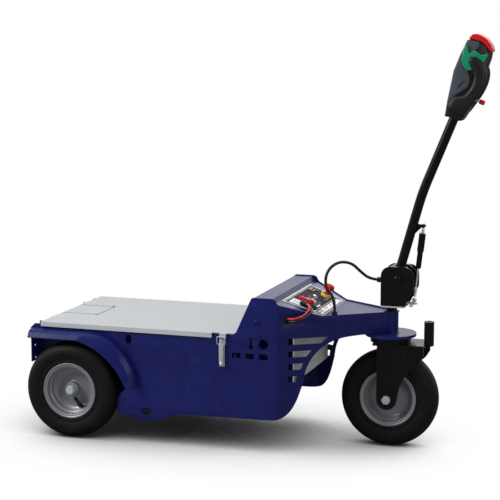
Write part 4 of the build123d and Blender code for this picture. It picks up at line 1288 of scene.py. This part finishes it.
@dataclass
class Panel:
    """The sloped instrument panel: printed plate, gauge, stop switch and power connector."""

    head_x: float = 139.5
    head_z: float = 608.0
    pitch: float = 18.94
    plate_x: float = 219.5
    plate: tuple[tuple[float, float], ...] = ((-205.0, 80.0), (205.0, 80.0), (165.0, -84.0), (-165.0, -84.0))

    def at(self, x: float, y: float, lift: float = 0.0) -> Matrix:
        """A placing on the panel: own X to the left of the machine, own Y up the slope.

        Args:
            x: its origin along the machine.
            y: its origin across the machine.
            lift: its height over the panel.

        Returns:
            The placing.
        """
        slope = math.radians(self.pitch)
        origin = Vector((x, y, self.head_z - (x - self.head_x) * math.tan(slope)))
        out = Vector((math.sin(slope), 0.0, math.cos(slope)))
        up = Vector((-math.cos(slope), 0.0, math.sin(slope)))
        turn = Matrix((Vector((0.0, 1.0, 0.0)), up, out)).transposed().to_4x4()
        return Matrix.Translation(origin + out * lift) @ turn

    def printing(self) -> None:
        """Borders, strips and plain marks on the plate."""
        at = self.at(self.plate_x, 0.0, 1.5)
        inner = ((-188.0, 69.0), (188.0, 69.0), (157.0, -54.0), (-157.0, -54.0))
        white = Shape("plate_border")
        white.border(self.plate, 7.0, 0.0, 0.35, at)
        white.border(inner, 2.2, 0.0, 0.35, at)
        white.slab([(-150.0, -60.0), (150.0, -60.0), (147.0, -77.0), (-147.0, -77.0)], 0.0, 0.35, at)
        white.slab([(-176.0, 60.0), (-98.0, 60.0), (-98.0, 14.0), (-166.0, 14.0)], 0.0, 0.35, at)
        white.slab([(-88.0, -36.0), (-46.0, -36.0), (-46.0, -44.0), (-88.0, -44.0)], 0.0, 0.35, at)
        white.finish("chassis", "decal", DECAL_WHITE)
        grey = Shape("plate_legends")
        for u, v, width, height in (
            (-40.0, 44.0, 52.0, 5.0), (-40.0, 34.0, 38.0, 4.0), (34.0, 8.0, 46.0, 4.0),
            (34.0, 0.0, 30.0, 4.0), (-30.0, 6.0, 26.0, 18.0), (76.0, -30.0, 60.0, 3.5),
            (76.0, -38.0, 44.0, 3.5), (-20.0, -30.0, 34.0, 3.5), (-138.0, 46.0, 34.0, 3.0),
            (-138.0, 38.0, 26.0, 3.0), (-138.0, 30.0, 40.0, 3.0), (160.0, 30.0, 20.0, 3.5),
            (70.0, -69.0, 60.0, 4.0), (10.0, -69.0, 34.0, 4.0),
        ):
            grey.block((width, height, 0.5), at @ Matrix.Translation((u, v, 0.0)))
        grey.finish("chassis", "decal", DECAL_GREY)
        green = Shape("plate_green_mark")
        green.slab([(-146.0, -61.0), (-104.0, -61.0), (-104.0, -76.0), (-144.0, -76.0)], 0.3, 0.6, at)
        green.slab([(-60.0, -64.0), (-36.0, -64.0), (-36.0, -73.0), (-60.0, -73.0)], 0.3, 0.6, at)
        green.finish("chassis", "decal", DECAL_GREEN)
        red = Shape("plate_red_mark")
        red.slab([(-90.0, -50.0), (-62.0, -50.0), (-62.0, -58.0), (-90.0, -58.0)], 0.0, 0.6, at)
        red.slab([(18.0, 30.0), (24.0, 30.0), (24.0, 20.0), (18.0, 20.0)], 0.0, 0.6, at)
        red.finish("chassis", "decal", DECAL_RED)
        lamp = Shape("plate_lamp")
        lamp.spun([(0.0, 4.0), (5.0, 3.4), (7.0, 1.6), (9.0, 1.4), (9.0, 0.0), (0.0, 0.0)],
                  self.at(206.0, 58.0, 1.5), steps=36)
        lamp.finish("chassis", "zinc", ZINC)

    def gauge(self) -> None:
        """The charge gauge: bezel, window and ticks."""
        at = self.at(171.5, 130.0, 1.5)
        bezel = Shape("gauge_bezel")
        bezel.block((46.0, 30.0, 5.0), at, 1.6, 3)
        bezel.finish("chassis", "black_plastic", GAUGE_GLASS, ["charge_gauge"])
        window = Shape("gauge_window")
        window.block((38.0, 22.0, 1.0), at @ Matrix.Translation((0.0, 0.0, 4.6)), 0.4, 2)
        window.finish("chassis", "decal", DECAL)
        ticks = Shape("gauge_ticks")
        for step in range(5):
            ticks.block((3.0, 9.0, 0.4), at @ Matrix.Translation((-14.0 + 7.0 * step, 2.0, 5.5)))
        ticks.finish("chassis", "decal", DECAL_WHITE)

    def stop_switch(self) -> None:
        """The yellow ring, dark well and red mushroom of the emergency switch."""
        at = self.at(237.5, 120.0, 1.5)
        ring = Shape("stop_ring")
        ring.spun([(17.0, 0.0), (24.0, 0.0), (24.0, 9.6), (22.4, 11.6), (20.0, 12.0), (18.6, 11.0),
                   (17.0, 6.0)],
                  at, closed=True, steps=72)
        ring.finish("chassis", "yellow_plastic", YELLOW, ["emergency_collar"])
        well = Shape("stop_well")
        well.spun([(0.0, 6.6), (10.0, 6.6), (12.0, 7.6), (17.2, 7.2), (17.2, 0.0), (0.0, 0.0)], at, steps=48)
        well.finish("chassis", "black_plastic", BLACK_PLASTIC)
        knob = Shape("stop_mushroom")
        knob.spun(
            [(0.0, 6.0), (9.0, 6.0), (9.0, 20.0), (10.4, 27.0), (14.0, 30.4), (20.6, 31.4), (22.8, 33.6),
             (23.0, 38.0), (22.2, 44.0), (19.6, 49.0), (14.0, 53.0), (7.0, 54.8), (0.0, 55.2)],
            at, steps=72,
        )
        knob.finish("chassis", "red_plastic", RED, ["emergency_knob"])

    def connector(self) -> None:
        """The grey connector, its red handle and the boots of the leads."""
        at = self.at(228.5, -125.0, 1.5)
        base = Shape("connector_base")
        base.block((50.0, 60.0, 12.0), at, 2.2, 3)
        base.finish("chassis", "black_plastic", BLACK_PLASTIC)
        body = Shape("connector_body")
        body.block((42.0, 46.0, 15.0), at @ Matrix.Translation((4.0, -4.0, 11.0)), 3.2, 4)
        body.block((16.0, 20.0, 6.0), at @ Matrix.Translation((12.0, -6.0, 24.0)), 2.2, 3)
        body.finish("chassis", "connector_grey", CONNECTOR_GREY, ["power_connector"])
        handle = Shape("connector_handle")
        handle.block((15.0, 66.0, 12.0), at @ Matrix.Translation((-14.0, 10.0, 18.0)), 4.4, 4)
        handle.block((17.0, 18.0, 18.0), at @ Matrix.Translation((-14.0, -12.0, 15.0)), 4.0, 4)
        handle.finish("chassis", "red_plastic", RED)
        contact = Shape("connector_contact")
        contact.spun([(0.0, 6.0), (4.0, 5.2), (6.2, 3.0), (7.0, 0.0), (0.0, 0.0)],
                     at @ Matrix.Translation((-2.0, -14.0, 26.0)), steps=32)
        contact.finish("chassis", "zinc", ZINC)
        boots = Shape("lead_boots")
        for cord in CORDS[1:]:
            end, before = (Vector(point) / MM for point in (cord.route[-1], cord.route[-2]))
            boots.spun(
                [(0.0, -9.0), (5.0, -9.0), (5.6, -2.0), (7.0, 0.0), (7.0, 26.0), (5.0, 28.0), (0.0, 28.0)],
                across(end, end - before), steps=32,
            )
        boots.finish("chassis", "black_rubber", GRIP_RUBBER)

    def build(self) -> None:
        """Build the panel."""
        self.printing()
        self.gauge()
        self.stop_switch()
        self.connector()


@dataclass
class GasSpring:
    """The gas spring between the tiller and its bracket."""

    top: Point = (671.5, 0.0, 906.0)
    foot: Point = (638.5, 0.0, 604.0)

    def build(self) -> None:
        """Build the cylinder, the rod and their ball joints."""
        top, foot = Vector(self.top), Vector(self.foot)
        down = across(self.top, foot - top)
        length = (foot - top).length
        barrel = Shape("spring_barrel")
        barrel.spun(
            [(0.0, 30.0), (9.0, 30.0), (12.0, 31.0), (13.5, 33.0), (13.5, 103.0), (12.6, 106.0),
             (11.4, 106.6), (11.0, 108.0), (11.0, 168.0), (10.2, 172.0), (8.0, 174.0), (4.4, 174.0),
             (0.0, 173.0)], down, steps=64,
        )
        barrel.finish("gas_cylinder", "black_paint", BLACK, ["gas_cylinder"])
        eye = Shape("spring_top_stud")
        eye.spun([(0.0, 4.0), (5.0, 8.5), (6.0, 12.0), (6.0, 24.0), (7.6, 25.0), (7.6, 31.0), (0.0, 31.0)],
                 down, steps=40)
        eye.finish("gas_cylinder", "zinc", ZINC)
        rod = Shape("spring_rod")
        rod.spun(
            [(0.0, 150.0), (4.0, 150.0), (4.0, length - 52.0), (6.0, length - 50.0), (7.0, length - 48.0),
             (7.0, length - 38.0), (5.6, length - 37.0), (5.6, length - 22.0), (6.6, length - 20.0),
             (6.6, length - 14.0), (0.0, length - 13.0)], down, steps=40,
        )
        rod.finish("gas_rod", "zinc", ZINC, ["gas_rod"])
        ball = Shape("spring_foot_ball")
        bmesh.ops.create_uvsphere(ball.mesh, u_segments=32, v_segments=20, radius=9.0,
                                  matrix=Matrix.Translation(self.foot))
        seat = across((foot.x, -11.0, foot.z), (0.0, 1.0, 0.0))
        ball.spun([(0.0, 0.0), (7.0, 0.0), (8.0, 1.0), (8.0, 21.0), (7.0, 22.0), (0.0, 22.0)], seat, steps=40)
        ball.spun([(0.0, 0.0), (12.0, 0.0), (12.0, 3.0), (6.0, 5.0), (5.0, 16.0), (0.0, 16.0)],
                  across((foot.x, 0.0, 586.3), (0.0, 0.0, 1.0)), steps=36)
        ball.block((96.0, 20.0, 7.6), Matrix.Translation((601.0, 0.0, 586.2)), 1.2, 2)
        ball.finish("steering", "zinc", ZINC, ["spring_foot"])
        log.info("gas spring %.0f mm between its pins", length)


@dataclass
class Latch:
    """A toggle latch: base plate, folded lever, wire bail and rivets."""

    side: Side
    name: str
    x: float = -75.5
    plate_y: float = 302.0

    def build(self) -> None:
        """Build the latch on the side plate."""
        at = side_on(self.x, self.side.value * self.plate_y, 0.0, self.side)
        shape = Shape("latch_" + self.name)
        shape.slab([(-11, 345), (11, 345), (11, 455), (-11, 455)], 0.0, 2.0, at)
        lever = [(-9.0, 362.0), (-7.0, 356.0), (0.0, 352.0), (7.0, 356.0), (9.0, 362.0), (9.5, 440.0),
                 (-9.5, 440.0)]
        shape.slab(lever, 11.5, 13.5, at)
        for edge in (-1.0, 1.0):
            shape.slab([(edge * 9.4, 362.0), (edge * 9.4, 440.0), (edge * 7.6, 440.0), (edge * 7.6, 362.0)],
                       2.0, 12.5, at)
        shape.round_over(0.6, 2)
        pivot = at @ Matrix.Translation((0.0, 356.0, 6.0))
        shape.spun([(0.0, 12.0), (4.0, 11.4), (6.6, 9.4), (7.6, 6.4), (7.6, -4.0), (0.0, -4.0)], pivot,
                   steps=32)
        shape.spun([(0.0, -12.0), (3.0, -12.0), (3.0, 12.0), (0.0, 12.0)],
                   at @ across((0.0, 436.0, 8.0), (1.0, 0.0, 0.0)), steps=24)
        shape.finish("chassis", "zinc", ZINC, ["lid_latches"] if self.side is Side.RIGHT else ())
        bail = Shape("latch_bail_" + self.name)
        wire = [(-14, 436, 9), (-17, 437, 11), (-17, 452, 15), (-17, 466, 16), (-14, 468, 16), (0, 468, 16),
                (14, 468, 16), (17, 466, 16), (17, 452, 15), (17, 437, 11), (14, 436, 9)]
        points = [tuple(at @ Vector(point)) for point in wire]
        bail.tube(points, [1.7] * len(points), order=3, rings=3)
        bail.finish("chassis", "zinc", ZINC)


class Fixings:
    """Screws, bolts, a painted shade strip in the hatch slit and weld beads."""

    def lid_screws(self) -> None:
        """Button heads along the lid's rear edge and by the hatch."""
        shape = Shape("lid_screws")
        for x, y in ((-853, -154), (-841, -162), (-853, 173), (-841, 165), (-853, -172), (-853, 155)):
            shape.button(Matrix.Translation((x, y, DECK_Z)), 5.0, 2.6)
        shape.finish("lid", "zinc", ZINC)

    def hatch_slit_painted_shade(self) -> None:
        """A dark strip in the slit round the lid's hatch: painted shade of the slit."""
        # painted shade: the dark strip and its corner beads stand for the shade inside the hatch slit
        half, front, foot, bead = 94.0, -707.6, 479.9, 480.1
        shape = Shape("hatch_slit_painted_shade")
        for side in Side:
            shape.block((150.0, 4.4, 0.6), Matrix.Translation((-794.0, side.value * half, foot)), 0.25, 2)
        shape.block((4.4, 164.0, 0.6), Matrix.Translation((front, 0.0, foot)), 0.25, 2)
        for side in Side:
            corner = [(-720.0, side.value * half, bead), (-710.0, side.value * half, bead),
                      (front, side.value * 91.6, bead), (front, side.value * 81.0, bead)]
            shape.tube(corner, [2.2, 2.2, 2.2, 2.2], order=3, rings=2)
        shape.finish("lid", "lid_paint", CABLE_RUBBER)

    def front_bolt(self) -> None:
        """The front axle's bolt heads on the fork's legs."""
        for side, name in ((Side.RIGHT, "right"), (Side.LEFT, "left")):
            shape = Shape("front_axle_bolt_" + name)
            shape.bolt(side_on(FRONT_X, side.value * 71.5, WHEEL_RADIUS, side), 24.0, 10.0, washer=17.0)
            shape.finish("steering", "zinc", ZINC)

    def cheek_screws(self) -> None:
        """Socket screws on the cheeks by the console and on the tiller bracket."""
        body = Shape("cheek_screws")
        for side in Side:
            seat = side_on(69.0, side.value * 302.0, 531.0, side)
            body.spun([(0.0, 0.0), (13.0, 0.0), (13.0, 1.6), (12.0, 2.2), (0.0, 2.2)], seat, steps=36)
            body.button(seat @ Matrix.Translation((0.0, 0.0, 2.0)), 9.0, 6.0)
        body.finish("chassis", "blue_paint", BLUE)
        bracket = Shape("bracket_screws")
        for side in Side:
            cap = side_on(581.5, side.value * 60.0, 693.0, side)
            bracket.spun([(0.0, 0.4), (6.0, 0.4), (6.6, 4.4), (11.0, 4.6), (13.6, 3.2), (14.6, 0.0),
                          (0.0, 0.0)], cap,
                         steps=48)
        bracket.finish("steering", "black_paint", BLACK)

    def welds(self) -> None:
        """Weld beads round the head tube."""
        shape = Shape("head_tube_welds")
        for height in (467.5, 553.5):
            ring = [
                (FRONT_X + 31.0 * math.cos(math.radians(turn)), 31.0 * math.sin(math.radians(turn)), height)
                for turn in range(-75, 76, 6)
            ]
            shape.tube(ring, [2.6 + 0.5 * (index % 2) for index in range(len(ring))], order=3, rings=3)
        shape.finish("chassis", "blue_paint", BLUE)

    def bracket_bolts(self) -> None:
        """Bolts that hold the tiller bracket to its base plate."""
        shape = Shape("bracket_base_bolts")
        for x in (526.0, 634.0):
            for y in (-34.0, 34.0):
                shape.bolt(Matrix.Translation((x, y, 582.0)), 13.0, 6.0, washer=9.0)
        shape.finish("steering", "zinc", ZINC)

    def build(self) -> None:
        """Fit them all."""
        self.lid_screws()
        self.hatch_slit_painted_shade()
        self.front_bolt()
        self.cheek_screws()
        self.welds()
        self.bracket_bolts()


def main() -> None:
    """Build every piece in order."""
    logging.basicConfig(level=logging.INFO)
    Studio().build()
    for cord in CORDS:
        cord.build()
    dress_solids()
    for wheel in (
        Wheel("rear_right", "wheel_rear_right", REAR_X, -286.0, Side.RIGHT),
        Wheel("rear_left", "wheel_rear_left", REAR_X, 286.0, Side.LEFT),
        Wheel("front", "wheel_front", FRONT_X, 0.0, Side.RIGHT, dish=0.0, hub=24.0, hub_in=-61.0,
              hub_out=61.0, bore=10.3),
    ):
        wheel.build()
    SidePlate(Side.RIGHT, "right").build()
    SidePlate(Side.LEFT, "left").build()
    Tub().build()
    HubNut(Side.RIGHT, "right").build()
    HubNut(Side.LEFT, "left").build()
    Head().build()
    Panel().build()
    GasSpring().build()
    Latch(Side.RIGHT, "right").build()
    Latch(Side.LEFT, "left").build()
    Fixings().build()


if __name__ == "__main__":
    main()
